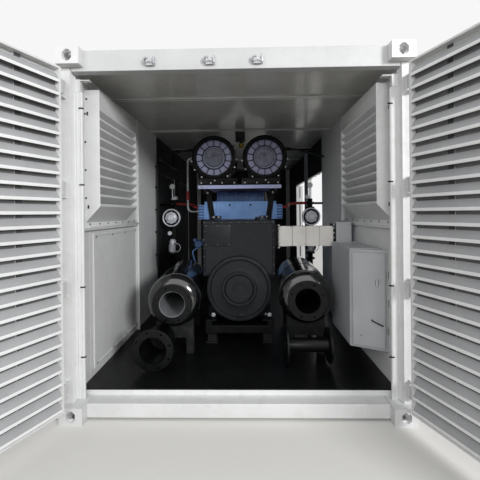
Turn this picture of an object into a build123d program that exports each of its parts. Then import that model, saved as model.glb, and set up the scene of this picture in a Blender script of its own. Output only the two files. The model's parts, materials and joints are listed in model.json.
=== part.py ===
"""Containerised generator set: a 20 ft steel enclosure with louvred end doors,
and the gas engine, alternator, filters and gas trains that it houses.

Millimetres. +X runs from the louvred doors into the container, +Y to the left
as seen from those doors, +Z up. The origin is the middle of the footprint at
ground level, centred between the four lock apertures of the bottom castings.
Stations named start, end or setback are measured inwards from the door end.
"""

from build123d import *
import math
import os

os.makedirs("parts", exist_ok=True)

# Container envelope
length = 6058
width = 2438
height = 2591

# Corner castings
casting_length = 178
casting_width = 162
casting_height = 118
casting_side_wall = 22
casting_end_wall = 28
lock_end_distance = 102.5
lock_side_distance = 89.5
lock_slot_length = 124
lock_slot_width = 63.5
side_aperture_length = 101.5
side_aperture_height = 79.5
end_aperture_height = 79.5
end_aperture_width = 63.5
aperture_corner = 22

# Bottom frame and floor
frame_lift = 17
floor_top = 160
floor_thickness = 8
sill_top = 115
sill_setback = 64
cross_member_pitch = 340
cross_member_width = 45
cross_member_lift = 30

# Walls, roof and ceiling
wall_thickness = 69
wall_inset = 5
top_rail_height = 60
ceiling_drop = 86
lining_thickness = 8
header_setback = 65
header_depth = 121
header_lip_depth = 67
header_drop = 146
corrugation_pitch = 278
corrugation_depth = 30
corrugation_flat = 72
roof_wave_pitch = 209
roof_wave_depth = 20
roof_wave_crest = 42
roof_wave_slope = 31
roof_sheet = 3
roof_drop = 8
batten_width = 44
batten_depth = 12
batten_start = 775
batten_pitch = 1165
rear_frame_setback = 6
rear_wall_setback = 20

# Front posts, measured in from the container's side
post_setback = 64
post_face_width = 69
post_stop_setback = 115
post_stop_width = 75
post_strip_width = 50
post_strip_depth = 25
post_strip_drop = 125

# End doors
door_setback = 50
door_thickness = 57
door_edge_distance = 74
door_gap = 8
door_bottom = 123
door_head_gap = 25
door_edge_width = 14
door_flange_width = 60
door_flange_thickness = 8
blade_pitch = 87
blade_lip = 19
blade_rise = 46
blade_drop = 112
blade_sheet = 2.5
stiffener_width = 40
stiffener_offset = 240
stiffener_depth = 12
left_door_angle = 113
right_door_angle = 110

# Door hinges
hinge_side_distance = 20
hinge_setback = 22
hinge_end_distance = 104
hinge_count = 4
hinge_knuckle_radius = 14
hinge_knuckle_height = 90
hinge_pin_radius = 8
hinge_pin_clearance = 0.5
hinge_lug_height = 14
hinge_lug_width = 38
hinge_lug_setback = 6
hinge_gap = 3
hinge_strap_thickness = 10
hinge_strap_offset = 26
hinge_web_thickness = 16

# Lock rods and their keepers on the header
rod_radius = 13
rod_standoff = 24
rod_stations = (-580, -166, 164)
rod_end_gap = 4
guide_count = 3
guide_width = 68
guide_height = 26
guide_end_distance = 22
cam_width = 44
cam_depth = 30
cam_height = 22
handle_level = 1040
handle_length = 265
handle_height = 26
handle_thickness = 10
keeper_drop = 98
keeper_width = 60
keeper_height = 44
keeper_depth = 24
keeper_wall = 4

# Air intakes in the side walls
left_hood_start = 262
left_hood_end = 1088
right_hood_start = 217
right_hood_end = 1091
hood_projection = 115
hood_top_drop = 200
hood_cap_height = 137
hood_foot_gap = 50
hood_foot_rise = 123
hood_sheet = 4
hood_blade_pitch = 73
hood_blade_depth = 59
hood_blade_fall = 49
hood_blade_lip = 17
intake_margin = 60
intake_sill_rise = 30

# Louvre panels outside the intakes and in the rear wall
louvre_bar = 45
louvre_depth = 45
louvre_pitch = 87
louvre_sheet = 8
louvre_inset = 2
louvre_standout = 3
rear_louvre_half_width = 600
rear_louvre_bottom = 700
rear_louvre_top = 1900

# Ledge rails and hatch on the inner walls
ledge_height = 1330
ledge_width = 28
ledge_thickness = 22
ledge_end = 1400
hatch_start = 375
hatch_end = 1395
hatch_border = 24
hatch_thickness = 9
hatch_relief = 6
hatch_ledge_gap = 29
hatch_bottom = 215

# Side doors
left_doorway_starts = (2333, 3725)
right_doorway_starts = (2446, 3838)
doorway_widths = (1047, 973)
doorway_top = 2027
side_leaf_thickness = 50
side_leaf_gap = 5
side_leaf_fold_gap = 18
side_hinge_count = 3
side_hinge_height = 80
side_hinge_reach = 45
side_hinge_end_distance = 300
side_latch_level = 1050

# Skid and mounts
shaft_height = 708
skid_top = 413
skid_height = 134
skid_half_width = 330
skid_beam_width = 110
skid_web_width = 60
skid_flange = 14
skid_start = 950
skid_end = 4150
skid_cross_width = 100
skid_cross_drop = 60
skid_cross_stations = (0, 1300, 2170, 3100)
mount_base = 130
mount_base_height = 16
mount_body_length = 96
mount_body_width = 84
mount_stations = (130, 1120, 2110, 3070)

# Alternator
alternator_start = 1000
alternator_length = 850
alternator_radius = 316
alternator_foot_width = 120
alternator_foot_height = 110
alternator_foot_inset = 20
alternator_foot_stations = (70, 660)
shield_radius = 313
shield_rim = 22
shield_cover_radius = 274
shield_cover_depth = 46
shield_step_radius = 169
shield_step_depth = 12
shield_hub_radius = 133
shield_hub_depth = 24
terminal_half_width = 353
terminal_bottom = 823
terminal_length = 720
terminal_cooler_gap = 3
terminal_cover_lip = 10
terminal_cover_inset = 14

# Engine
flywheel_radius = 355
flywheel_depth = 130
engine_length = 1900
bank_angle = 45
deck_distance = 480
deck_half_width = 100
head_height = 150
head_side_height = 90
head_crown_half_width = 75
head_gap = 38
cylinders_per_bank = 6
block_half_width = 300
block_base_half_width = 230
block_base_drop = 130
block_shoulder_drop = 60
valley_half_width = 60
damper_radius = 150
damper_depth = 70
sump_half_width = 215
sump_clearance = 50
sump_sink = 40
sump_end_gap = 60
engine_foot_width = 120
engine_foot_stations = (180, 1600)

# Charge air cooler and plenum
cooler_overhang = 80
cooler_depth = 420
cooler_half_width = 450
cooler_height = 226
cooler_wing_width = 83
cooler_wing_drop = 42
cooler_wing_setback = 30
cooler_bracket_width = 100
plenum_half_width = 300
plenum_height = 120
plenum_setback = 12
plenum_rib = 24
plenum_rib_pitch = 62
plenum_rib_count = 9

# Filters, their shelf and struts
shelf_half_width = 474
shelf_start = 1500
shelf_depth = 620
shelf_lip = 42
shelf_sheet = 6
filter_offset = 292
filter_radius = 255
filter_mouth_radius = 219
filter_start = 1520
filter_length = 560
filter_recess = 40
cradle_half_width = 110
cradle_thickness = 60
cradle_inset = 60
cradle_wrap = 40
strut_width = 68
strut_thickness = 30
strut_gap = 14
strut_top_offset = 405
strut_foot_offset = 270
intake_pipe_radius = 70
intake_pipe_corner = 80
intake_pipe_reach = 400

# Gaps in the stack from the cylinder heads up to the ceiling, as shares of the free room
cooler_gap_share = 0.403
shelf_gap_share = 0.02
cradle_gap_share = 0.16

# Gas trains
train_wall_gap = 175
train_setback = 2420
train_pipe_radius = 34
train_top = 1640
train_bracket_height = 30
train_bracket_level = 1560
regulator_height = 1387
regulator_radius = 126
regulator_depth = 60
regulator_dome_radius = 88
regulator_dome_depth = 110
valve_height = 965
valve_radius = 72
valve_depth = 90
gauge_height = 1830
gauge_radius = 36
gauge_depth = 24
gauge_stem_radius = 8

# Wall pipes and hoses
wall_pipe_radius = 15
wall_pipe_gap = 22
wall_pipe_near = 2154
wall_pipe_far = 3440
wall_pipe_level = 2185
wall_pipe_foot = 760
wall_pipe_far_foot = 1560
ceiling_pipe_setback = 3100
ceiling_pipe_gap = 40
ceiling_pipe_end = 560
engine_pipe_setback = 2250
engine_pipe_offset = 723
engine_pipe_top = 2200
engine_pipe_level = 1470
engine_pipe_radius = 15
hose_radius = 19
hose_corner = 45
hose_drop = 60
hose_rise = 40
hose_reach = 110
hose_setback = 2170

# Sensor under the ceiling
sensor_setback = 1945
sensor_width = 127
sensor_depth = 70
sensor_height = 142
sensor_offset = -4
sensor_cell_offset = -18
sensor_cell_radius = 33
sensor_cell_height = 75

# Silencers kept on the floor
silencer_radius = 238
silencer_length = 1080
silencer_start = 670
silencer_bore = 112
silencer_flange_radius = 174
silencer_flange = 20
silencer_neck = 60
silencer_neck_wall = 10
silencer_end_cone = 90
silencer_shell_end = 50
left_silencer_height = 656
right_silencer_height = 681
silencer_toe_out = 3.7
left_silencer_clearance = 46
right_silencer_clearance = 69
stand_stations = (130, 860)
stand_width = 340
stand_thickness = 70
stand_leg_width = 70
stand_seat_height = 110
stand_wrap = 116

# Loose pipes kept on the floor
left_pipe_offset = 695
left_pipe_setback = 428
left_pipe_length = 300
left_pipe_flange_radius = 171
left_pipe_bore = 110
right_pipe_setback = 560
right_pipe_inner = 394
right_pipe_outer = 767
right_pipe_flange_radius = 168
right_pipe_small_flange_radius = 146
right_pipe_bore = 50
pipe_wall = 12
pipe_flange = 24

# Power cabinet
cabinet_depth = 250
cabinet_start = 300
cabinet_corner = 435
cabinet_end = 982
cabinet_bottom = 372
cabinet_top = 1148
cabinet_door_margin = 22
cabinet_door_thickness = 6

# Cable duct and its end box
duct_box_side_gap = 56
duct_box_width = 146
duct_box_length = 203
duct_box_bottom = 1000
duct_box_top = 1345
duct_setback = 1020
duct_depth = 150
duct_bottom = 1116
duct_height = 190
duct_flange = 22
duct_flange_lip = 12
duct_collar = 18
duct_bay_count = 4
duct_seam = 6
duct_seam_depth = 5

# Levels and stations that follow from the sizes above
x_front = -length / 2
x_rear = length / 2
half_width = width / 2
wall_inner = half_width - wall_thickness
wall_outer = half_width - wall_inset
wall_top = height - top_rail_height
ceiling_underside = height - ceiling_drop
header_underside = height - header_drop
rail_x = x_rear - casting_length
header_x = x_front + header_setback
roof_start = header_x + header_depth
hood_top = height - hood_top_drop
hood_foot = ledge_height + hood_foot_gap
hood_lip_level = hood_foot + hood_foot_rise
hood_face = wall_inner - hood_projection
intake_bottom = hood_lip_level + intake_sill_rise
intake_top = hood_top - intake_margin
door_top = header_underside - door_head_gap
lock_y = half_width - lock_side_distance
lock_x = length / 2 - lock_end_distance


def block(x, y, z, mode=Mode.ADD):
    """Box between two values along each axis, in either order."""
    with Locations(((x[0] + x[1]) / 2, (y[0] + y[1]) / 2, (z[0] + z[1]) / 2)):
        Box(abs(x[1] - x[0]), abs(y[1] - y[0]), abs(z[1] - z[0]), mode=mode)


def rod_x(x, y, z, radius, mode=Mode.ADD):
    """Round bar along X between two stations."""
    with Locations(((x[0] + x[1]) / 2, y, z)):
        Cylinder(radius, abs(x[1] - x[0]), rotation=(0, 90, 0), mode=mode)


def rod_y(x, y, z, radius, mode=Mode.ADD):
    """Round bar along Y between two offsets."""
    with Locations((x, (y[0] + y[1]) / 2, z)):
        Cylinder(radius, abs(y[1] - y[0]), rotation=(90, 0, 0), mode=mode)


def rod_z(x, y, z, radius, mode=Mode.ADD):
    """Round bar along Z between two levels."""
    with Locations((x, y, (z[0] + z[1]) / 2)):
        Cylinder(radius, abs(z[1] - z[0]), mode=mode)


def cut_corners(points, corner):
    """Route with each corner cut back by the same length along both runs."""
    route = [Vector(*points[0])]
    for before, middle, after in zip(points, points[1:], points[2:]):
        middle = Vector(*middle)
        route.append(middle + (Vector(*before) - middle).normalized() * corner)
        route.append(middle + (Vector(*after) - middle).normalized() * corner)
    return route + [Vector(*points[-1])]


def pipe_run(points, radius):
    """Round pipe along straight runs, mitred at each corner."""
    with BuildPart() as run:
        with BuildLine() as route:
            Polyline(*points)
        with BuildSketch(Plane(origin=route.line @ 0, z_dir=route.line % 0)):
            Circle(radius)
        sweep(transition=Transition.RIGHT)
    return run.part


def save(builder, name):
    """Label a finished piece and write it."""
    builder.part.label = name
    export_step(builder.part, f"parts/{name}.step")


# Corner castings: hollow blocks with a lock slot, and apertures to the side and the end
casting_x = (x_front, x_front + casting_length)
casting_y = (half_width - casting_width, half_width)
with BuildPart() as corner_castings:
    block(casting_x, casting_y, (0, casting_height))
    block(
        (casting_x[0] + casting_end_wall, casting_x[1] - casting_side_wall),
        (casting_y[0] + casting_side_wall, casting_y[1] - casting_side_wall),
        (casting_end_wall, casting_height - casting_side_wall),
        mode=Mode.SUBTRACT,
    )
    with BuildSketch(Plane.XY):
        with Locations((-lock_x, lock_y)):
            SlotOverall(lock_slot_length, lock_slot_width)
    extrude(amount=casting_end_wall, mode=Mode.SUBTRACT)
    side_face = Plane(
        origin=(x_front + casting_length / 2, half_width, casting_height / 2), z_dir=(0, 1, 0)
    )
    with BuildSketch(side_face) as side_aperture:
        Rectangle(side_aperture_length, side_aperture_height)
        chamfer(side_aperture.vertices(), aperture_corner)
    extrude(amount=-casting_side_wall, mode=Mode.SUBTRACT)
    end_face = Plane(
        origin=(x_front, half_width - casting_width / 2, casting_height / 2),
        x_dir=(0, 0, 1),
        z_dir=(-1, 0, 0),
    )
    with BuildSketch(end_face) as end_aperture:
        Rectangle(end_aperture_height, end_aperture_width)
        chamfer(end_aperture.vertices(), aperture_corner)
    extrude(amount=-casting_end_wall, mode=Mode.SUBTRACT)
    mirror(about=Plane.XZ)
    mirror(about=Plane.YZ)
    mirror(about=Plane.XY.offset(height / 2))
save(corner_castings, "corner_castings")

# Bottom rails: side rails between the castings, a sill at each end
with BuildPart() as bottom_rails:
    block((-rail_x, rail_x), (wall_inner, half_width), (frame_lift, floor_top))
    mirror(about=Plane.XZ)
    sill_y = half_width - casting_width
    block((x_front + sill_setback, -rail_x), (-sill_y, sill_y), (frame_lift, sill_top))
    block((rail_x, x_rear - sill_setback), (-sill_y, sill_y), (frame_lift, sill_top))
save(bottom_rails, "bottom_rails")

# Cross members between the side rails, under the floor
member_z = (cross_member_lift, floor_top - floor_thickness)
member_count = int((2 * rail_x - cross_member_width) / cross_member_pitch) + 1
member_pitch = (2 * rail_x - cross_member_width) / (member_count - 1)
with BuildPart() as cross_members:
    with Locations((0, 0, (member_z[0] + member_z[1]) / 2)):
        with GridLocations(member_pitch, 1, member_count, 1):
            Box(cross_member_width, 2 * wall_inner, member_z[1] - member_z[0])
save(cross_members, "cross_members")

# Floor plate between the wall linings
with BuildPart() as floor_plate:
    block((-rail_x, rail_x), (-wall_inner, wall_inner), (floor_top - floor_thickness, floor_top))
save(floor_plate, "floor_plate")

# Hinge levels, evenly spread up the doors
hinge_pitch = (door_top - door_bottom - 2 * hinge_end_distance) / (hinge_count - 1)
hinge_levels = [door_bottom + hinge_end_distance + index * hinge_pitch for index in range(hinge_count)]
hinge_x = x_front + hinge_setback
hinge_y = half_width - hinge_side_distance
lug_low = hinge_knuckle_height / 2 + hinge_gap
lug_high = lug_low + hinge_lug_height

# Front posts: outer section, door stop, inner strip, hinge lugs and pins
post_x = x_front + post_setback
stop_x = x_front + post_stop_setback
post_face_y = half_width - post_face_width
post_stop_y = half_width - post_stop_width
with BuildPart() as front_posts:
    with BuildSketch(Plane.XY.offset(casting_height)):
        with BuildLine():
            Polyline(
                (post_x, half_width),
                (x_front + casting_length, half_width),
                (x_front + casting_length, post_stop_y),
                (stop_x, post_stop_y),
                (stop_x, post_face_y),
                (post_x, post_face_y),
                close=True,
            )
        make_face()
    extrude(amount=height - 2 * casting_height)
    block(
        (stop_x, stop_x + post_strip_depth),
        (post_stop_y - post_strip_width, post_stop_y),
        (casting_height, header_underside - post_strip_drop),
    )
    for level in hinge_levels:
        for low, high in ((-lug_high, -lug_low), (lug_low, lug_high)):
            block(
                (x_front + hinge_lug_setback, post_x),
                (half_width - hinge_lug_width, half_width),
                (level + low, level + high),
            )
        rod_z(hinge_x, hinge_y, (level - lug_low, level + lug_low), hinge_pin_radius)
    mirror(about=Plane.XZ)
save(front_posts, "front_posts")

# Door header with a keeper for the cam of each lock rod
header_half = half_width - casting_width
keeper_z = (height - keeper_drop - keeper_height / 2, height - keeper_drop + keeper_height / 2)
with BuildPart() as door_header:
    block(
        (header_x, header_x + header_depth),
        (-header_half, header_half),
        (height - casting_height, height),
    )
    block(
        (header_x, header_x + header_lip_depth),
        (-post_stop_y, post_stop_y),
        (header_underside, height - casting_height),
    )
    for station in rod_stations:
        block(
            (header_x - keeper_depth, header_x),
            (-station - keeper_width / 2, -station + keeper_width / 2),
            keeper_z,
        )
        block(
            (header_x - keeper_depth + keeper_wall, header_x - keeper_wall),
            (-station - rod_radius, -station + rod_radius),
            keeper_z,
            mode=Mode.SUBTRACT,
        )
save(door_header, "door_header")

# Top side rails
with BuildPart() as top_rails:
    block((-rail_x, rail_x), (wall_inner, half_width), (wall_top, height))
    mirror(about=Plane.XZ)
save(top_rails, "top_rails")

# Rear frame: posts and header
with BuildPart() as rear_frame:
    block(
        (rail_x, x_rear - rear_frame_setback),
        (half_width - casting_width, half_width),
        (casting_height, height - casting_height),
    )
    mirror(about=Plane.XZ)
    block(
        (rail_x, x_rear - rear_frame_setback),
        (-header_half, header_half),
        (ceiling_underside, height),
    )
save(rear_frame, "rear_frame")


def corrugated_run(start, end):
    """Points of a trapezoid corrugation along a run, as station and depth in."""
    slope = (corrugation_pitch - 2 * corrugation_flat) / 2
    waves = int((end - start - 2 * corrugation_flat) / corrugation_pitch)
    lead = (end - start - waves * corrugation_pitch) / 2
    points = [(start, 0)]
    for wave in range(waves):
        first = start + lead + wave * corrugation_pitch + corrugation_flat / 2
        points.append((first, 0))
        points.append((first + slope, corrugation_depth))
        points.append((first + slope + corrugation_flat, corrugation_depth))
        points.append((first + 2 * slope + corrugation_flat, 0))
    points.append((end, 0))
    return points


def wall_outline(start, end, side):
    """Plan outline of a lined wall panel: flat inside, corrugated outside."""
    outer = [(x, side * (wall_outer - depth)) for x, depth in corrugated_run(start, end)]
    return outer + [(end, side * wall_inner), (start, side * wall_inner)]


def doorway_edges(starts):
    """Station pairs of the doorways in one wall."""
    return [(x_front + start, x_front + start + wide) for start, wide in zip(starts, doorway_widths)]


def intake_edges(hood_start, hood_end):
    """Station pair of the air intake behind a hood."""
    return (x_front + hood_start + intake_margin, x_front + hood_end - intake_margin)


sides = {
    "left": (1, left_doorway_starts, left_hood_start, left_hood_end),
    "right": (-1, right_doorway_starts, right_hood_start, right_hood_end),
}

# Side walls: the full-height panels beside the intakes and doorways
for name, (side, starts, hood_start, hood_end) in sides.items():
    intake = intake_edges(hood_start, hood_end)
    near, far = doorway_edges(starts)
    spans = [(-rail_x, intake[0]), (intake[1], near[0]), (near[1], far[0]), (far[1], rail_x)]
    with BuildPart() as panels:
        for start, end in spans:
            with BuildSketch(Plane.XY.offset(floor_top)):
                with BuildLine():
                    Polyline(*wall_outline(start, end, side), close=True)
                make_face()
            extrude(amount=wall_top - floor_top)
    save(panels, f"{name}_wall_panels")

# Lintels: wall over the doorways and over the intakes
with BuildPart() as wall_lintels:
    for side, starts, hood_start, hood_end in sides.values():
        lintels = [(edges, doorway_top) for edges in doorway_edges(starts)]
        lintels.append((intake_edges(hood_start, hood_end), intake_top))
        for (start, end), bottom in lintels:
            with BuildSketch(Plane.XY.offset(bottom)):
                with BuildLine():
                    Polyline(*wall_outline(start, end, side), close=True)
                make_face()
            extrude(amount=wall_top - bottom)
save(wall_lintels, "wall_lintels")

# Wall under the intakes
with BuildPart() as intake_sills:
    for side, starts, hood_start, hood_end in sides.values():
        with BuildSketch(Plane.XY.offset(floor_top)):
            with BuildLine():
                Polyline(*wall_outline(*intake_edges(hood_start, hood_end), side), close=True)
            make_face()
        extrude(amount=intake_bottom - floor_top)
save(intake_sills, "intake_sills")

# Rear wall between the rear posts, cut through for the outlet louvre
with BuildPart() as rear_wall:
    with BuildSketch(Plane.XY.offset(sill_top)):
        with BuildLine():
            run = corrugated_run(-header_half, header_half)
            outer = [(x_rear - rear_wall_setback - depth, y) for y, depth in run]
            Polyline(*outer, (rail_x, header_half), (rail_x, -header_half), close=True)
        make_face()
    extrude(amount=ceiling_underside - sill_top)
    block(
        (rail_x - 1, x_rear),
        (-rear_louvre_half_width, rear_louvre_half_width),
        (rear_louvre_bottom, rear_louvre_top),
        mode=Mode.SUBTRACT,
    )
save(rear_wall, "rear_wall")

# Roof sheet: pressed waves across the container
with BuildPart() as roof:
    wave_count = int((rail_x - roof_start) / roof_wave_pitch)
    lead = (rail_x - roof_start - wave_count * roof_wave_pitch) / 2
    crest = height - roof_drop
    upper = [(roof_start, crest)]
    for wave in range(wave_count):
        first = roof_start + lead + wave * roof_wave_pitch + roof_wave_crest / 2
        last = first + roof_wave_pitch - roof_wave_crest
        upper.append((first, crest))
        upper.append((first + roof_wave_slope, crest - roof_wave_depth))
        upper.append((last - roof_wave_slope, crest - roof_wave_depth))
        upper.append((last, crest))
    upper.append((rail_x, crest))
    lower = [(x, z - roof_sheet) for x, z in reversed(upper)]
    with BuildSketch(Plane.XZ.offset(-wall_inner)):
        with BuildLine():
            Polyline(*upper, *lower, close=True)
        make_face()
    extrude(amount=2 * wall_inner)
save(roof, "roof")

# Ceiling lining with battens across it
batten_count = int((rail_x - x_front - batten_start - batten_width) / batten_pitch) + 1
with BuildPart() as ceiling_lining:
    block(
        (roof_start, rail_x),
        (-wall_inner, wall_inner),
        (ceiling_underside, ceiling_underside + lining_thickness),
    )
    for index in range(batten_count):
        batten_x = x_front + batten_start + index * batten_pitch
        block(
            (batten_x, batten_x + batten_width),
            (-wall_inner, wall_inner),
            (ceiling_underside - batten_depth, ceiling_underside),
        )
save(ceiling_lining, "ceiling_lining")

# Intake hoods: cheeks, cap, top and sloping foot, one on each side wall
for name, (side, starts, hood_start, hood_end) in sides.items():
    hood_x = (x_front + hood_start, x_front + hood_end)
    with BuildPart() as hood:
        for cheek_x in (hood_x[0], hood_x[1] - hood_sheet):
            with BuildSketch(Plane.YZ.offset(cheek_x)):
                with BuildLine():
                    Polyline(
                        (side * wall_inner, hood_top),
                        (side * hood_face, hood_top),
                        (side * hood_face, hood_lip_level),
                        (side * wall_inner, hood_foot),
                        close=True,
                    )
                make_face()
            extrude(amount=hood_sheet)
        block(
            hood_x,
            (side * hood_face, side * (hood_face + hood_sheet)),
            (hood_top - hood_cap_height, hood_top),
        )
        block(hood_x, (side * hood_face, side * wall_inner), (hood_top - hood_sheet, hood_top))
        with BuildSketch(Plane.YZ.offset(hood_x[0])):
            with BuildLine():
                Polyline(
                    (side * wall_inner, hood_foot),
                    (side * hood_face, hood_lip_level),
                    (side * hood_face, hood_lip_level + hood_sheet),
                    (side * wall_inner, hood_foot + hood_sheet),
                    close=True,
                )
            make_face()
        extrude(amount=hood_x[1] - hood_x[0])
    save(hood, f"{name}_intake_hood")

# Hood blades: a lip towards the room, and a sheet that falls back towards the wall
blade_room = hood_top - hood_cap_height - hood_lip_level - hood_sheet - hood_blade_lip
hood_blade_count = int(blade_room / hood_blade_pitch) + 1
with BuildPart() as hood_blades:
    for side, starts, hood_start, hood_end in sides.values():
        with BuildSketch(Plane.YZ.offset(x_front + hood_start + hood_sheet)):
            for index in range(hood_blade_count):
                low = hood_lip_level + hood_sheet + index * hood_blade_pitch
                with BuildLine():
                    Polyline(
                        (side * hood_face, low),
                        (side * hood_face, low + hood_blade_lip),
                        (side * (hood_face + hood_sheet), low + hood_blade_lip),
                        (side * (hood_face + hood_sheet), low + hood_sheet),
                        (side * (hood_face + hood_blade_depth), low - hood_blade_fall + hood_sheet),
                        (side * (hood_face + hood_blade_depth), low - hood_blade_fall),
                        close=True,
                    )
                make_face()
        extrude(amount=hood_end - hood_start - 2 * hood_sheet)
save(hood_blades, "hood_blades")


def louvre_rows(bottom, top):
    """Low edge and rise of each blade between two bars."""
    rows = round((top - bottom) / louvre_pitch)
    pitch = (top - bottom - louvre_sheet) / rows
    return [(bottom + louvre_sheet / 2 + row * pitch, pitch - louvre_sheet) for row in range(rows)]


def louvre_section(outside, inside, low, rise):
    """Section of a louvre blade that rises from outside to inside."""
    return [
        (outside, low),
        (inside, low + rise),
        (inside, low + rise + louvre_sheet / 2),
        (outside, low + louvre_sheet / 2),
    ]


# Louvre panels outside the intakes and in the rear wall
with BuildPart() as outer_louvres:
    for side, starts, hood_start, hood_end in sides.values():
        x0, x1 = intake_edges(hood_start, hood_end)
        y_out = wall_outer + louvre_standout
        y_in = y_out - louvre_depth
        opening_z = (intake_bottom + louvre_bar, intake_top - louvre_bar)
        block((x0, x1), (side * y_in, side * y_out), (intake_bottom, intake_top))
        block(
            (x0 + louvre_bar, x1 - louvre_bar),
            (side * y_in, side * y_out),
            opening_z,
            mode=Mode.SUBTRACT,
        )
        with BuildSketch(Plane.YZ.offset(x0 + louvre_bar / 2)):
            for low, rise in louvre_rows(*opening_z):
                edges = (side * (y_out - louvre_inset), side * (y_in + louvre_inset))
                with BuildLine():
                    Polyline(*louvre_section(*edges, low, rise), close=True)
                make_face()
        extrude(amount=x1 - x0 - louvre_bar)
    x_out = x_rear - rear_wall_setback + louvre_standout
    x_in = x_out - louvre_depth
    half = rear_louvre_half_width
    opening_z = (rear_louvre_bottom + louvre_bar, rear_louvre_top - louvre_bar)
    block((x_in, x_out), (-half, half), (rear_louvre_bottom, rear_louvre_top))
    block((x_in, x_out), (louvre_bar - half, half - louvre_bar), opening_z, mode=Mode.SUBTRACT)
    with BuildSketch(Plane.XZ.offset(louvre_bar / 2 - half)):
        for low, rise in louvre_rows(*opening_z):
            edges = (x_out - louvre_inset, x_in + louvre_inset)
            with BuildLine():
                Polyline(*louvre_section(*edges, low, rise), close=True)
            make_face()
    extrude(amount=2 * half - louvre_bar)
save(outer_louvres, "outer_louvres")

# Ledge rails under the hoods
with BuildPart() as wall_ledges:
    block(
        (-rail_x, x_front + ledge_end),
        (wall_inner - ledge_width, wall_inner),
        (ledge_height - ledge_thickness / 2, ledge_height + ledge_thickness / 2),
    )
    mirror(about=Plane.XZ)
save(wall_ledges, "wall_ledges")

# Hatch on the left wall: a raised border round a shallow field
hatch_x = (x_front + hatch_start, x_front + hatch_end)
hatch_top = ledge_height - ledge_thickness / 2 - hatch_ledge_gap
with BuildPart() as wall_hatch:
    block(hatch_x, (wall_inner - hatch_thickness, wall_inner), (hatch_bottom, hatch_top))
    block(
        (hatch_x[0] + hatch_border, hatch_x[1] - hatch_border),
        (wall_inner - hatch_thickness, wall_inner - hatch_thickness + hatch_relief),
        (hatch_bottom + hatch_border, hatch_top - hatch_border),
        mode=Mode.SUBTRACT,
    )
save(wall_hatch, "wall_hatch")

# Side doors: left pair shut in their doorways, right pair folded back outside
leaf_z = (floor_top + side_leaf_gap, doorway_top - side_leaf_gap)
side_hinge_span = leaf_z[1] - leaf_z[0] - 2 * side_hinge_end_distance
side_hinge_levels = [
    leaf_z[0] + side_hinge_end_distance + index * side_hinge_span / (side_hinge_count - 1)
    for index in range(side_hinge_count)
]
with BuildPart() as left_side_doors:
    for start, end in doorway_edges(left_doorway_starts):
        block(
            (start + side_leaf_gap, end - side_leaf_gap),
            (wall_outer - side_leaf_thickness, wall_outer),
            leaf_z,
        )
        for level in side_hinge_levels:
            block(
                (start - side_hinge_reach, start + side_hinge_reach),
                (wall_outer, half_width),
                (level - side_hinge_height / 2, level + side_hinge_height / 2),
            )
        block(
            (end - side_hinge_reach, end + side_hinge_reach),
            (wall_outer, half_width),
            (side_latch_level, side_latch_level + side_hinge_height),
        )
save(left_side_doors, "left_side_doors")

fold_y = -half_width - side_leaf_fold_gap
with BuildPart() as right_side_doors:
    near, far = doorway_edges(right_doorway_starts)
    near_leaf = (near[0] - doorway_widths[0], near[0] - side_leaf_gap)
    far_leaf = (far[1] + side_leaf_gap, far[1] + doorway_widths[1])
    for leaf_x in (near_leaf, far_leaf):
        block(leaf_x, (fold_y - side_leaf_thickness, fold_y), leaf_z)
    for hinge_span in ((near[0] - side_hinge_reach, near[0]), (far[1], far[1] + side_hinge_reach)):
        for level in side_hinge_levels:
            block(
                hinge_span,
                (fold_y, -wall_outer),
                (level - side_hinge_height / 2, level + side_hinge_height / 2),
            )
save(right_side_doors, "right_side_doors")


def opened(side, angle):
    """Location that swings a door drawn shut to its open rest position."""
    pivot = Location((hinge_x, side * hinge_y, 0))
    return pivot * Location((0, 0, 0), (0, 0, -side * angle)) * pivot.inverse()


door_x0 = x_front + door_setback
door_x1 = door_x0 + door_thickness
door_mid = (door_x0 + door_x1) / 2
door_edge = half_width - door_edge_distance
field_z = (door_bottom + door_edge_width, door_top - door_edge_width)
flange_z = (door_bottom + door_flange_width, door_top - door_flange_width)
flange_x = door_x0 + door_flange_thickness
blade_rows = int((field_z[1] - field_z[0]) / blade_pitch)
blade_start = field_z[0] + (field_z[1] - field_z[0] - blade_rows * blade_pitch) / 2
rod_x_axis = door_x0 - rod_standoff
guide_span = door_top - door_bottom - 2 * guide_end_distance - guide_height
guide_levels = [
    door_bottom + guide_end_distance + index * guide_span / (guide_count - 1)
    for index in range(guide_count)
]
door_rods = {
    "left": [-station for station in rod_stations if station < 0],
    "right": [-station for station in rod_stations if station > 0],
}

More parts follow.
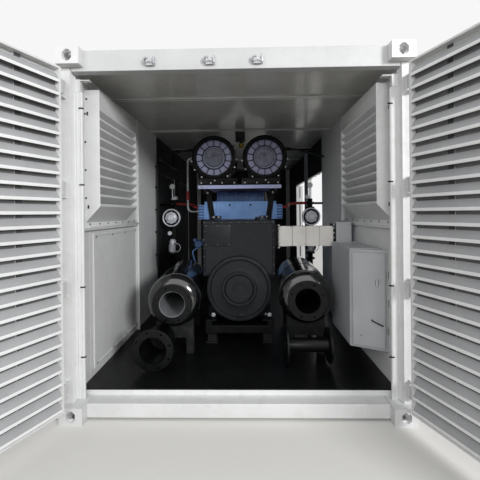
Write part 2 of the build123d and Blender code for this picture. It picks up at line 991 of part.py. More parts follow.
for name, side, angle in (("left", 1, left_door_angle), ("right", -1, right_door_angle)):
    swing = opened(side, angle)
    field_y = (side * (door_edge - door_edge_width), side * (door_gap / 2 + door_edge_width))
    flange_y = (side * (door_edge - door_flange_width), side * (door_gap / 2 + door_flange_width))

    # Frame of the leaf: an angle section all round, its flange outside, with bored hinge straps
    with BuildPart() as leaf:
        block(
            (door_x0, door_x1), (side * door_edge, side * door_gap / 2), (door_bottom, door_top)
        )
        block((flange_x, door_x1), field_y, field_z, mode=Mode.SUBTRACT)
        block((door_x0, flange_x), flange_y, flange_z, mode=Mode.SUBTRACT)
        strap_x = hinge_x + hinge_strap_offset
        web_y = (
            side * (hinge_y - hinge_web_thickness / 2),
            side * (hinge_y + hinge_web_thickness / 2),
        )
        for level in hinge_levels:
            strap_z = (level - hinge_knuckle_height / 2, level + hinge_knuckle_height / 2)
            rod_z(hinge_x, side * hinge_y, strap_z, hinge_knuckle_radius)
            block((strap_x, strap_x + hinge_strap_thickness), (web_y[1], side * (door_edge - 1)), strap_z)
            block((hinge_x, strap_x), web_y, strap_z)
            bore = hinge_pin_radius + hinge_pin_clearance
            rod_z(hinge_x, side * hinge_y, strap_z, bore, mode=Mode.SUBTRACT)
    leaf.part = leaf.part.moved(swing)
    save(leaf, f"{name}_door_frame")

    # Fixed blades: lip inside, sheet rising to the middle, steep shade outside
    with BuildPart() as blades:
        with BuildSketch(Plane.XZ.offset(-field_y[0])):
            for row in range(blade_rows):
                low = blade_start + row * blade_pitch
                crown = low + blade_lip + blade_rise
                with BuildLine():
                    Polyline(
                        (door_x1 - blade_sheet, low),
                        (door_x1, low),
                        (door_x1, low + blade_lip),
                        (door_mid, crown),
                        (flange_x, crown - blade_drop),
                        (flange_x + blade_sheet, crown - blade_drop),
                        (door_mid, crown - 2 * blade_sheet),
                        (door_x1 - blade_sheet, low + blade_lip - blade_sheet),
                        close=True,
                    )
                make_face()
        extrude(amount=field_y[0] - field_y[1])
        bar_y = side * (door_edge - stiffener_offset)
        block(
            (flange_x, flange_x + stiffener_depth),
            (bar_y, bar_y - side * stiffener_width),
            field_z,
        )
        block((flange_x, door_x1), field_y, (door_bottom - blade_drop, field_z[0]), mode=Mode.SUBTRACT)
    blades.part = blades.part.moved(swing)
    save(blades, f"{name}_door_blades")

    # Lock rods with guides, cams and handles on the outside face
    with BuildPart() as locks:
        for rod_offset in door_rods[name]:
            rod_z(
                rod_x_axis,
                rod_offset,
                (door_bottom + rod_end_gap, door_top - rod_end_gap),
                rod_radius,
            )
            for level in guide_levels:
                block(
                    (rod_x_axis, door_x0),
                    (rod_offset - guide_width / 2, rod_offset + guide_width / 2),
                    (level, level + guide_height),
                )
            block(
                (rod_x_axis - cam_depth + rod_end_gap, rod_x_axis + rod_end_gap),
                (rod_offset - cam_width / 2, rod_offset + cam_width / 2),
                (door_top - cam_height / 2, door_top + cam_height / 2),
            )
            handle_end = rod_offset + side * handle_length
            handle_x = (rod_x_axis - rod_radius - handle_thickness, rod_x_axis - rod_radius / 2)
            block(handle_x, (rod_offset, handle_end), (handle_level, handle_level + handle_height))
            block(
                (handle_x[0], door_x0),
                (handle_end - side * guide_width, handle_end - side * guide_height),
                (handle_level - handle_thickness, handle_level),
            )
    locks.part = locks.part.moved(swing)
    save(locks, f"{name}_door_locks")

# Skid: two long channel beams, cross beams let in between them
skid_bottom = skid_top - skid_height
skid_x = (x_front + skid_start, x_front + skid_end)
web_y = skid_half_width - skid_web_width
with BuildPart() as skid:
    for side in (-1, 1):
        beam_y = (side * (skid_half_width - skid_beam_width), side * skid_half_width)
        block(skid_x, beam_y, (skid_bottom, skid_top))
        block(
            skid_x,
            (beam_y[0], side * web_y),
            (skid_bottom + skid_flange, skid_top - skid_flange),
            mode=Mode.SUBTRACT,
        )
    for station in skid_cross_stations:
        block(
            (skid_x[0] + station, skid_x[0] + station + skid_cross_width),
            (-web_y, web_y),
            (skid_bottom, skid_top - skid_cross_drop),
        )
save(skid, "skid")

# Anti-vibration mounts between skid and floor
mount_y = skid_half_width - skid_beam_width / 2
with BuildPart() as vibration_mounts:
    for station in mount_stations:
        mount_x = skid_x[0] + station
        block(
            (mount_x - mount_base / 2, mount_x + mount_base / 2),
            (mount_y - skid_beam_width / 2, mount_y + skid_beam_width / 2),
            (floor_top, floor_top + mount_base_height),
        )
        block(
            (mount_x - mount_body_length / 2, mount_x + mount_body_length / 2),
            (mount_y - mount_body_width / 2, mount_y + mount_body_width / 2),
            (floor_top + mount_base_height, skid_bottom),
        )
    mirror(about=Plane.XZ)
save(vibration_mounts, "vibration_mounts")

# Alternator frame on its feet
alternator_x = (x_front + alternator_start, x_front + alternator_start + alternator_length)
foot_y = skid_half_width - alternator_foot_inset
with BuildPart() as alternator_frame:
    rod_x(alternator_x, 0, shaft_height, alternator_radius)
    for station in alternator_foot_stations:
        block(
            (alternator_x[0] + station, alternator_x[0] + station + alternator_foot_width),
            (-foot_y, foot_y),
            (skid_top, skid_top + alternator_foot_height),
        )
save(alternator_frame, "alternator_frame")

# End shield: rim, domed cover, step and centre disc
shield_face = alternator_x[0] - shield_cover_depth
with BuildPart() as alternator_end_shield:
    with BuildSketch(Plane.XZ):
        with BuildLine():
            Polyline(
                (alternator_x[0], shaft_height),
                (alternator_x[0], shaft_height + shield_radius),
                (alternator_x[0] - shield_rim, shaft_height + shield_radius),
                (alternator_x[0] - shield_rim, shaft_height + shield_cover_radius),
                (shield_face, shaft_height + shield_cover_radius),
                (shield_face, shaft_height + shield_step_radius),
                (shield_face + shield_step_depth, shaft_height + shield_step_radius),
                (shield_face + shield_step_depth, shaft_height + shield_hub_radius),
                (shield_face + shield_step_depth - shield_hub_depth, shaft_height + shield_hub_radius),
                (shield_face + shield_step_depth - shield_hub_depth, shaft_height),
                close=True,
            )
        make_face()
    revolve(axis=Axis((alternator_x[0], 0, shaft_height), (1, 0, 0)))
save(alternator_end_shield, "alternator_end_shield")

# Levels of the stack above the engine: cooler, plenum, shelf and filters
bank = math.radians(bank_angle)


def bank_point(along, across):
    """Point in the engine's section, along and across the left bank's axis."""
    y = along * math.sin(bank) + across * math.cos(bank)
    z = shaft_height + along * math.cos(bank) - across * math.sin(bank)
    return (y, z)


heads_top = bank_point(deck_distance + head_height, -head_crown_half_width)[1]
stack_height = cooler_height + plenum_height + shelf_lip + 2 * filter_radius
free_room = ceiling_underside - heads_top - stack_height
cooler_bottom = heads_top + cooler_gap_share * free_room
cooler_top = cooler_bottom + cooler_height
plenum_top = cooler_top + plenum_height
shelf_top = plenum_top + shelf_gap_share * free_room + shelf_lip
filter_height = shelf_top + cradle_gap_share * free_room + filter_radius
terminal_top = cooler_bottom - terminal_cooler_gap

# Terminal box saddled on the alternator frame, with a lipped front cover
terminal_x = (alternator_x[0], alternator_x[0] + terminal_length)
with BuildPart() as terminal_box:
    block(terminal_x, (-terminal_half_width, terminal_half_width), (terminal_bottom, terminal_top))
    block(
        (terminal_x[0], terminal_x[0] + terminal_cover_lip),
        (-terminal_half_width, terminal_half_width),
        (terminal_top - terminal_cover_inset, terminal_top),
        mode=Mode.SUBTRACT,
    )
    rod_x(
        (terminal_x[0] - 1, terminal_x[1] + 1),
        0,
        shaft_height,
        alternator_radius,
        mode=Mode.SUBTRACT,
    )
save(terminal_box, "terminal_box")

# Flywheel housing between alternator and engine
flywheel_x = (alternator_x[1], alternator_x[1] + flywheel_depth)
with BuildPart() as flywheel_housing:
    rod_x(flywheel_x, 0, shaft_height, flywheel_radius)
save(flywheel_housing, "flywheel_housing")

# Engine block: a V of two banks, with a vibration damper at the free end
engine_x = (flywheel_x[1], flywheel_x[1] + engine_length)
outer_deck = bank_point(deck_distance, deck_half_width)
inner_deck = bank_point(deck_distance, -deck_half_width)
valley_level = inner_deck[1] - inner_deck[0] + valley_half_width
base_level = shaft_height - block_base_drop
with BuildPart() as engine_block:
    right_half = [
        (block_base_half_width, base_level),
        (block_half_width, shaft_height - block_shoulder_drop),
        (block_half_width, outer_deck[1] - (outer_deck[0] - block_half_width)),
        outer_deck,
        inner_deck,
        (valley_half_width, valley_level),
    ]
    left_half = [(-y, z) for y, z in reversed(right_half)]
    with BuildSketch(Plane.YZ.offset(engine_x[0])):
        with BuildLine():
            Polyline(*right_half, *left_half, close=True)
        make_face()
    extrude(amount=engine_length)
    rod_x((engine_x[1], engine_x[1] + damper_depth), 0, shaft_height, damper_radius)
save(engine_block, "engine_block")

# Oil sump under the block, let in between the skid beams, and the engine's feet
sump_base_half_width = skid_half_width - skid_beam_width - sump_clearance
with BuildPart() as oil_sump:
    with BuildSketch(Plane.YZ.offset(engine_x[0] + sump_end_gap)):
        with BuildLine():
            Polyline(
                (-sump_half_width, base_level),
                (sump_half_width, base_level),
                (sump_base_half_width, skid_top - sump_sink),
                (-sump_base_half_width, skid_top - sump_sink),
                close=True,
            )
        make_face()
    extrude(amount=engine_length - 2 * sump_end_gap)
    for station in engine_foot_stations:
        block(
            (engine_x[0] + station, engine_x[0] + station + engine_foot_width),
            (-foot_y, foot_y),
            (skid_top, base_level),
        )
save(oil_sump, "oil_sump")

# Cylinder heads, one per cylinder, along the two decks
head_pitch = engine_length / cylinders_per_bank
with BuildPart() as cylinder_heads:
    for index in range(cylinders_per_bank):
        with BuildSketch(Plane.YZ.offset(engine_x[0] + index * head_pitch + head_gap / 2)):
            with BuildLine():
                Polyline(
                    bank_point(deck_distance, -deck_half_width),
                    bank_point(deck_distance, deck_half_width),
                    bank_point(deck_distance + head_side_height, deck_half_width),
                    bank_point(deck_distance + head_height, head_crown_half_width),
                    bank_point(deck_distance + head_height, -head_crown_half_width),
                    bank_point(deck_distance + head_side_height, -deck_half_width),
                    close=True,
                )
            make_face()
        extrude(amount=head_pitch - head_gap)
    mirror(about=Plane.XZ)
save(cylinder_heads, "cylinder_heads")

# Charge air cooler across the flywheel end, with end tanks, on a bracket from the valley
cooler_x = (engine_x[0] - cooler_overhang, engine_x[0] - cooler_overhang + cooler_depth)
wing_half_width = cooler_half_width + cooler_wing_width
with BuildPart() as charge_air_cooler:
    block(cooler_x, (-cooler_half_width, cooler_half_width), (cooler_bottom, cooler_top))
    block(
        (cooler_x[0] + cooler_wing_setback, cooler_x[1] - cooler_wing_setback),
        (-wing_half_width, wing_half_width),
        (cooler_bottom, cooler_top - cooler_wing_drop),
    )
    block(
        (engine_x[0], cooler_x[1]),
        (-cooler_bracket_width / 2, cooler_bracket_width / 2),
        (valley_level, cooler_bottom),
    )
save(charge_air_cooler, "charge_air_cooler")

# Ribbed plenum on top of the cooler
plenum_x = (cooler_x[0] + plenum_setback, cooler_x[1])
with BuildPart() as air_plenum:
    block(plenum_x, (-plenum_half_width, plenum_half_width), (cooler_top, plenum_top))
    with Locations((cooler_x[0] + plenum_setback / 2, 0, (cooler_top + plenum_top) / 2)):
        with GridLocations(1, plenum_rib_pitch, 1, plenum_rib_count):
            Box(plenum_setback, plenum_rib, plenum_height)
save(air_plenum, "air_plenum")

# Shelf for the air filters: a tray with turned-down lips, and saddle cradles on top
shelf_x = (x_front + shelf_start, x_front + shelf_start + shelf_depth)
cradle_stations = (shelf_x[0] + cradle_inset, shelf_x[1] - cradle_inset - cradle_thickness)
with BuildPart() as filter_shelf:
    block(shelf_x, (-shelf_half_width, shelf_half_width), (shelf_top - shelf_sheet, shelf_top))
    for lip_x in (shelf_x[0], shelf_x[1] - shelf_sheet):
        block(
            (lip_x, lip_x + shelf_sheet),
            (-shelf_half_width, shelf_half_width),
            (shelf_top - shelf_lip, shelf_top),
        )
    for side in (-1, 1):
        for cradle_x in cradle_stations:
            block(
                (cradle_x, cradle_x + cradle_thickness),
                (
                    side * filter_offset - cradle_half_width,
                    side * filter_offset + cradle_half_width,
                ),
                (shelf_top, filter_height - filter_radius + cradle_wrap),
            )
        rod_x(shelf_x, side * filter_offset, filter_height, filter_radius, mode=Mode.SUBTRACT)
save(filter_shelf, "filter_shelf")

# Struts from the flywheel housing up to the shelf, leaning outwards
strut_x = cooler_x[0] - strut_gap - strut_thickness
with BuildPart() as shelf_struts:
    for side in (-1, 1):
        with BuildSketch(Plane.YZ.offset(strut_x)):
            with BuildLine():
                Polyline(
                    (side * (strut_foot_offset - strut_width / 2), shaft_height),
                    (side * (strut_foot_offset + strut_width / 2), shaft_height),
                    (side * (strut_foot_offset + strut_width / 2), terminal_bottom),
                    (side * (strut_top_offset + strut_width / 2), shelf_top - shelf_sheet),
                    (side * (strut_top_offset - strut_width / 2), shelf_top - shelf_sheet),
                    (side * (strut_foot_offset - strut_width / 2), terminal_bottom),
                    close=True,
                )
            make_face()
        extrude(amount=strut_thickness)
    rod_x(flywheel_x, 0, shaft_height, flywheel_radius, mode=Mode.SUBTRACT)
save(shelf_struts, "shelf_struts")

# Air filters: round canisters with a recessed mouth
filter_x = (x_front + filter_start, x_front + filter_start + filter_length)
with BuildPart() as air_filters:
    for side in (-1, 1):
        centre = side * filter_offset
        with BuildSketch(Plane.XY.offset(filter_height)):
            with BuildLine():
                Polyline(
                    (filter_x[0], centre + filter_mouth_radius),
                    (filter_x[0], centre + filter_radius),
                    (filter_x[1], centre + filter_radius),
                    (filter_x[1], centre),
                    (filter_x[0] + filter_recess, centre),
                    (filter_x[0] + filter_recess, centre + filter_mouth_radius),
                    close=True,
                )
            make_face()
        revolve(axis=Axis((filter_x[0], centre, filter_height), (1, 0, 0)))
save(air_filters, "air_filters")

# Mesh discs in the filter mouths
with BuildPart() as filter_grilles:
    for side in (-1, 1):
        rod_x(
            (filter_x[0] + filter_recess / 2, filter_x[0] + filter_recess),
            side * filter_offset,
            filter_height,
            filter_mouth_radius,
        )
save(filter_grilles, "filter_grilles")

# Air pipes from the backs of the filters down to the back of the cooler
pipe_back = filter_x[1] + intake_pipe_reach
cooler_level = (cooler_bottom + cooler_top) / 2
intake_runs = [
    pipe_run(
        cut_corners(
            [
                (filter_x[1], side * filter_offset, filter_height),
                (pipe_back, side * filter_offset, filter_height),
                (pipe_back, side * filter_offset, cooler_level),
                (cooler_x[1], side * filter_offset, cooler_level),
            ],
            intake_pipe_corner,
        ),
        intake_pipe_radius,
    )
    for side in (-1, 1)
]
with BuildPart() as intake_pipes:
    add(intake_runs)
save(intake_pipes, "intake_pipes")

# Gas trains: standing pipe with a wall bracket and a cut-off valve on each side
train_x = x_front + train_setback
train_offset = wall_inner - train_wall_gap
with BuildPart() as gas_trains:
    rod_z(train_x, train_offset, (floor_top, train_top), train_pipe_radius)
    rod_x((train_x - valve_depth / 2, train_x + valve_depth / 2), train_offset, valve_height, valve_radius)
    block(
        (train_x - train_bracket_height / 2, train_x + train_bracket_height / 2),
        (train_offset, wall_inner),
        (train_bracket_level, train_bracket_level + train_bracket_height),
    )
    mirror(about=Plane.XZ)
save(gas_trains, "gas_trains")

# Regulators in front of the standing pipes: a round rim with a domed centre
regulator_back = train_x - train_pipe_radius
with BuildPart() as regulators:
    rod_x(
        (regulator_back - regulator_depth, regulator_back),
        train_offset,
        regulator_height,
        regulator_radius,
    )
    rod_x(
        (regulator_back - regulator_dome_depth, regulator_back),
        train_offset,
        regulator_height,
        regulator_dome_radius,
    )
    mirror(about=Plane.XZ)
save(regulators, "regulators")

# Pressure gauges on stems at the heads of the trains
with BuildPart() as pressure_gauges:
    rod_z(train_x, train_offset, (train_top, gauge_height), gauge_stem_radius)
    rod_x(
        (train_x - gauge_depth, train_x + gauge_stem_radius),
        train_offset,
        gauge_height,
        gauge_radius,
    )
    mirror(about=Plane.XZ)
save(pressure_gauges, "pressure_gauges")

# Wall pipes: a looped run over the left doors, two runs under the ceiling, one at the engine
pipe_wall_y = wall_inner - wall_pipe_gap - wall_pipe_radius
ceiling_pipe_z = ceiling_underside - ceiling_pipe_gap
wall_pipe_runs = [
    pipe_run(
        [
            (x_front + wall_pipe_near, pipe_wall_y, wall_pipe_foot),
            (x_front + wall_pipe_near, pipe_wall_y, wall_pipe_level),
            (x_front + wall_pipe_far, pipe_wall_y, wall_pipe_level),
            (x_front + wall_pipe_far, pipe_wall_y, wall_pipe_far_foot),
        ],
        wall_pipe_radius,
    ),
    pipe_run(
        [
            (x_front + engine_pipe_setback, filter_offset, engine_pipe_top),
            (x_front + engine_pipe_setback, engine_pipe_offset, engine_pipe_top),
            (x_front + engine_pipe_setback, engine_pipe_offset, engine_pipe_level),
            (x_front + engine_pipe_setback, wing_half_width, engine_pipe_level),
        ],
        engine_pipe_radius,
    ),
] + [
    pipe_run(
        [
            (x_front + ceiling_pipe_setback, side * ceiling_pipe_end, ceiling_pipe_z),
            (x_front + ceiling_pipe_setback, side * pipe_wall_y, ceiling_pipe_z),
            (x_front + ceiling_pipe_setback, side * pipe_wall_y, wall_pipe_level + 2 * wall_pipe_radius),
        ],
        wall_pipe_radius,
    )
    for side in (-1, 1)
]
with BuildPart() as wall_pipes:
    add(wall_pipe_runs)
save(wall_pipes, "wall_pipes")

# Gas hoses from the heads of the trains to the cooler's end tanks
hose_z = (train_top - hose_drop, cooler_level + hose_rise)
hose_runs = [
    pipe_run(
        cut_corners(
            [
                (train_x, side * (train_offset - train_pipe_radius), hose_z[0]),
                (train_x, side * (wing_half_width + hose_reach), hose_z[0]),
                (x_front + hose_setback, side * (wing_half_width + hose_reach), hose_z[1]),
                (x_front + hose_setback, side * wing_half_width, hose_z[1]),
            ],
            hose_corner,
        ),
        hose_radius,
    )
    for side in (-1, 1)
]
with BuildPart() as gas_hoses:
    add(hose_runs)
save(gas_hoses, "gas_hoses")

# Gas sensor under the ceiling, its cell below the box
sensor_x = (x_front + sensor_setback + batten_width, x_front + sensor_setback + batten_width + sensor_depth)
with BuildPart() as gas_sensor:
    block(
        sensor_x,
        (sensor_offset - sensor_width / 2, sensor_offset + sensor_width / 2),
        (ceiling_underside - sensor_height, ceiling_underside),
    )
    rod_z(
        (sensor_x[0] + sensor_x[1]) / 2,
        sensor_cell_offset,
        (ceiling_underside - sensor_height - sensor_cell_height, ceiling_underside - sensor_height),
        sensor_cell_radius,
    )
save(gas_sensor, "gas_sensor")

# Silencers stand clear of the alternator and of the terminal box above them
toe = math.radians(silencer_toe_out)
toe_gain = (alternator_start - silencer_start) * math.tan(toe)
silencer_sizes = {
    1: (left_silencer_height, left_silencer_clearance),
    -1: (right_silencer_height, right_silencer_clearance),
}


def silencer_place(side):
    """Place of a silencer's front centre, turned out towards its wall."""
    level, clearance = silencer_sizes[side]
    chord = math.sqrt(silencer_radius**2 - (terminal_bottom - level) ** 2)
    clear_offset = max(alternator_radius + silencer_radius, terminal_half_width + chord)
    place = (x_front + silencer_start, side * (clear_offset + clearance - toe_gain), level)
    return Location(place, (0, 0, side * silencer_toe_out))


# One silencer: flange, short neck, coned ends and a straight shell
with BuildPart() as silencer_body:
    with BuildSketch(Plane.XZ):
        with BuildLine():
            Polyline(
                (-silencer_neck, silencer_bore),
                (-silencer_neck, silencer_flange_radius),
                (silencer_flange - silencer_neck, silencer_flange_radius),
                (silencer_flange - silencer_neck, silencer_bore + silencer_neck_wall),
                (0, silencer_bore + silencer_neck_wall),
                (silencer_end_cone, silencer_radius),
                (silencer_length - silencer_shell_end, silencer_radius),
                (silencer_length, silencer_flange_radius),
                (silencer_length, silencer_bore),
                close=True,
            )
        make_face()
    revolve(axis=Axis.X)

with BuildPart() as silencers:
    for side in (-1, 1):
        add(silencer_body.part.moved(silencer_place(side)))
save(silencers, "silencers")

# Stands under the silencers: two legs under a saddle seat
stand_foot = (Align.CENTER, Align.CENTER, Align.MIN)
with BuildPart() as silencer_stands:
    for side, (level, clearance) in silencer_sizes.items():
        stand_top = level - silencer_radius + stand_wrap - floor_top
        seat_underside = level - silencer_radius - stand_seat_height - floor_top
        for station in stand_stations:
            with Locations(silencer_place(side) * Location((station, 0, floor_top - level))):
                Box(stand_thickness, stand_width, stand_top, align=stand_foot)
                Box(
                    stand_thickness,
                    stand_width - 2 * stand_leg_width,
                    seat_underside,
                    align=stand_foot,
                    mode=Mode.SUBTRACT,
                )
        with Locations(silencer_place(side) * Location((silencer_length / 2, 0, 0), (0, 90, 0))):
            Cylinder(silencer_radius, silencer_length, mode=Mode.SUBTRACT)
save(silencer_stands, "silencer_stands")

# Loose flanged pipes kept on the floor, one along the container and one across it
left_pipe_x = (x_front + left_pipe_setback, x_front + left_pipe_setback + left_pipe_length)
left_pipe_z = floor_top + left_pipe_flange_radius
right_pipe_x = x_front + right_pipe_setback
right_pipe_z = floor_top + right_pipe_flange_radius
with BuildPart() as loose_pipes:
    rod_x(
        (left_pipe_x[0], left_pipe_x[0] + pipe_flange),
        left_pipe_offset,
        left_pipe_z,
        left_pipe_flange_radius,
    )
    rod_x(left_pipe_x, left_pipe_offset, left_pipe_z, left_pipe_bore + pipe_wall)
    rod_x(
        (left_pipe_x[0] - 1, left_pipe_x[1] + 1),
        left_pipe_offset,
        left_pipe_z,
        left_pipe_bore,
        mode=Mode.SUBTRACT,
    )
    rod_y(
        right_pipe_x,
        (-right_pipe_inner - pipe_flange, -right_pipe_inner),
        right_pipe_z,
        right_pipe_flange_radius,
    )
    rod_y(
        right_pipe_x,
        (-right_pipe_outer, -right_pipe_inner),
        right_pipe_z,
        right_pipe_bore + pipe_wall,
    )
    rod_y(
        right_pipe_x,
        (-right_pipe_outer, pipe_flange - right_pipe_outer),
        right_pipe_z,
        right_pipe_small_flange_radius,
    )
    rod_y(
        right_pipe_x,
        (-right_pipe_outer - 1, 1 - right_pipe_inner),
        right_pipe_z,
        right_pipe_bore,
        mode=Mode.SUBTRACT,
    )
save(loose_pipes, "loose_pipes")

# Power cabinet on the right wall, its door on the slanted face
cabinet_inner = wall_inner - cabinet_depth
door_run = (cabinet_corner - cabinet_start, cabinet_depth)
door_length = math.hypot(*door_run)
slant = math.degrees(math.atan2(door_run[1], door_run[0]))
with BuildPart() as power_cabinet:
    with BuildSketch(Plane.XY.offset(cabinet_bottom)):
        with BuildLine():
            Polyline(
                (x_front + cabinet_start, -wall_inner),
                (x_front + cabinet_corner, -cabinet_inner),
                (x_front + cabinet_end, -cabinet_inner),
                (x_front + cabinet_end, -wall_inner),
                close=True,
            )
        make_face()
    extrude(amount=cabinet_top - cabinet_bottom)
    door_middle = (
        x_front + (cabinet_start + cabinet_corner) / 2,
        -(wall_inner + cabinet_inner) / 2,
        (cabinet_bottom + cabinet_top) / 2,
    )
    with Locations(Location(door_middle, (0, 0, slant))):
        Box(
            door_length - 2 * cabinet_door_margin,
            2 * cabinet_door_thickness,
            cabinet_top - cabinet_bottom - 2 * cabinet_door_margin,
        )
save(power_cabinet, "power_cabinet")

# End box behind the cabinet where the cable duct lands
duct_box_x = (x_front + cabinet_end, x_front + cabinet_end + duct_box_length)
duct_box_y = -(wall_inner - duct_box_side_gap)
duct_end = duct_box_y + duct_box_width
with BuildPart() as duct_end_box:
    block(duct_box_x, (duct_box_y, duct_end), (duct_box_bottom, duct_box_top))
save(duct_end_box, "duct_end_box")

# Cable duct from the terminal box to the end box: flanged, wrapped in cloth bays
duct_x = (x_front + duct_setback, x_front + duct_setback + duct_depth)
duct_z = (duct_bottom, duct_bottom + duct_height)
cloth_y = (-terminal_half_width - duct_flange - duct_collar, duct_end + duct_flange)
bay = (cloth_y[0] - cloth_y[1]) / duct_bay_count
with BuildPart() as cable_duct:
    block(duct_x, (-terminal_half_width, duct_end), duct_z)
    for flange_y in (cloth_y[0], cloth_y[1] - duct_flange):
        block(
            (duct_x[0] - duct_flange_lip, duct_x[1] + duct_flange_lip),
            (flange_y, flange_y + duct_flange),
            (duct_z[0] - duct_flange_lip, duct_z[1] + duct_flange_lip),
        )
    for index in range(1, duct_bay_count):
        seam_y = cloth_y[1] + index * bay
        block(
            (duct_x[0], duct_x[0] + duct_seam_depth),
            (seam_y - duct_seam / 2, seam_y + duct_seam / 2),
            duct_z,
            mode=Mode.SUBTRACT,
        )
save(cable_duct, "cable_duct")
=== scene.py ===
# %% [markdown]
# # A generator set in its container
# The object is a 20 ft steel container that houses a gas engine, its alternator, two round air
# filters, a gas train on each side and two silencers stored on the floor. The steel frame, the
# doors and the main forms are already solid models. This lesson dresses them: it gives every
# surface its real finish and models the fittings that make a machine look built by people.

# %% Load the frame
import bpy
import bmesh
import json
import math
from mathutils import Matrix, Vector, noise


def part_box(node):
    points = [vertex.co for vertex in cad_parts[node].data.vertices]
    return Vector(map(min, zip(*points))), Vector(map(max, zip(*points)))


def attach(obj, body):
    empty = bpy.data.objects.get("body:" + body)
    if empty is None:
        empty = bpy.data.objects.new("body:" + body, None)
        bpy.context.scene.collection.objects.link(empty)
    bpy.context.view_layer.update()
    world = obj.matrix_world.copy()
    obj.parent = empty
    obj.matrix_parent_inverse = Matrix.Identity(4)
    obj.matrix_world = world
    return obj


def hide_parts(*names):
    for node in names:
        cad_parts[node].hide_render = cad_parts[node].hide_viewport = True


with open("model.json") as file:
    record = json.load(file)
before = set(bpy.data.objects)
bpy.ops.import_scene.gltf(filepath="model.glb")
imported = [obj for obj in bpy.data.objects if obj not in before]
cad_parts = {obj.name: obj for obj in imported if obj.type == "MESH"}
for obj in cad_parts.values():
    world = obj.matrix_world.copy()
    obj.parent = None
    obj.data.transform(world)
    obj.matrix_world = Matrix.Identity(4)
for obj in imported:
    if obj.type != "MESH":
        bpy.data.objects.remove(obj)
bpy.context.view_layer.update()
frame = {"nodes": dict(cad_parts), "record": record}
nodes = frame["nodes"]
scene = bpy.context.scene
print("nodes in the frame:", len(nodes))

# %% [markdown]
# ## The camera
# The photograph looks in through the open end doors at eye height, nearly level and square to
# the set. The camera stands where that view has its vanishing point, with the small roll of a
# hand-held shot, and a little shift instead of a tilt, so that upright edges stay upright.

# %% Camera
FOCAL_PIXELS = 325.0
FRAME_PIXELS = 480
view = bpy.data.cameras.new("camera")
holder = bpy.data.objects.new("camera", view)
scene.collection.objects.link(holder)
view.sensor_width = 36
view.lens = FOCAL_PIXELS / FRAME_PIXELS * view.sensor_width
view.shift_y = -26 / FRAME_PIXELS
view.clip_end = 200
yaw, pitch, roll = math.radians(1.156), math.radians(-0.119), math.radians(-0.525)
look = Vector((math.cos(pitch) * math.cos(yaw), math.cos(pitch) * math.sin(yaw), math.sin(pitch)))
turn = look.to_track_quat("-Z", "Y").to_matrix()
eye = Vector((-5.2188, -0.0776, 1.4411))
holder.matrix_world = Matrix.Translation(eye) @ (turn @ Matrix.Rotation(roll, 3, "Z")).to_4x4()
scene.camera = holder
scene.view_settings.view_transform = "Standard"
print("camera at", [round(v, 2) for v in eye])

# %% [markdown]
# ## Colours and nodes
# Paint cards and photographs give colours as sRGB hex values, while a shader works in linear
# light. One function turns one into the other. A second small function adds a node, sets its
# values and links its inputs, so that each finish below reads as a short recipe.

# %% Colour and node helpers
MM = 0.001


def linear(code):
    """Linear colour with alpha from an sRGB hex value."""
    values = [int(code[i : i + 2], 16) / 255 for i in (1, 3, 5)]
    turned = [v / 12.92 if v <= 0.04045 else ((v + 0.055) / 1.055) ** 2.4 for v in values]
    return (*turned, 1.0)


def add_node(finish, kind, settings=None, links=None):
    """Add one node to a material, set its values and link its inputs."""
    item = finish.node_tree.nodes.new(kind)
    for name, value in (settings or {}).items():
        if isinstance(name, int) or name in item.inputs:
            item.inputs[name].default_value = value
        else:
            setattr(item, name, value)
    for name, source in (links or {}).items():
        finish.node_tree.links.new(source, item.inputs[name])
    return item


def blank_finish(name):
    """A material with an empty node tree."""
    finish = bpy.data.materials.new(name)
    finish.use_nodes = True
    finish.node_tree.nodes.clear()
    return finish


# %% [markdown]
# ## Paint on steel
# Container steel is sprayed with a satin enamel. Up close it has a slight orange peel, its tone
# drifts from panel to panel, and dust and scuffs dull it in patches. A flat colour would look
# like plastic, so the recipe mixes two close tones with a broad noise, lays dust in a finer
# one, and varies the roughness with the same patches. The peel is a few millimetres wide and
# is drawn a little coarser than it is, so that it shows at this size.

# %% Enamel recipe
DUST_GRAIN = 70


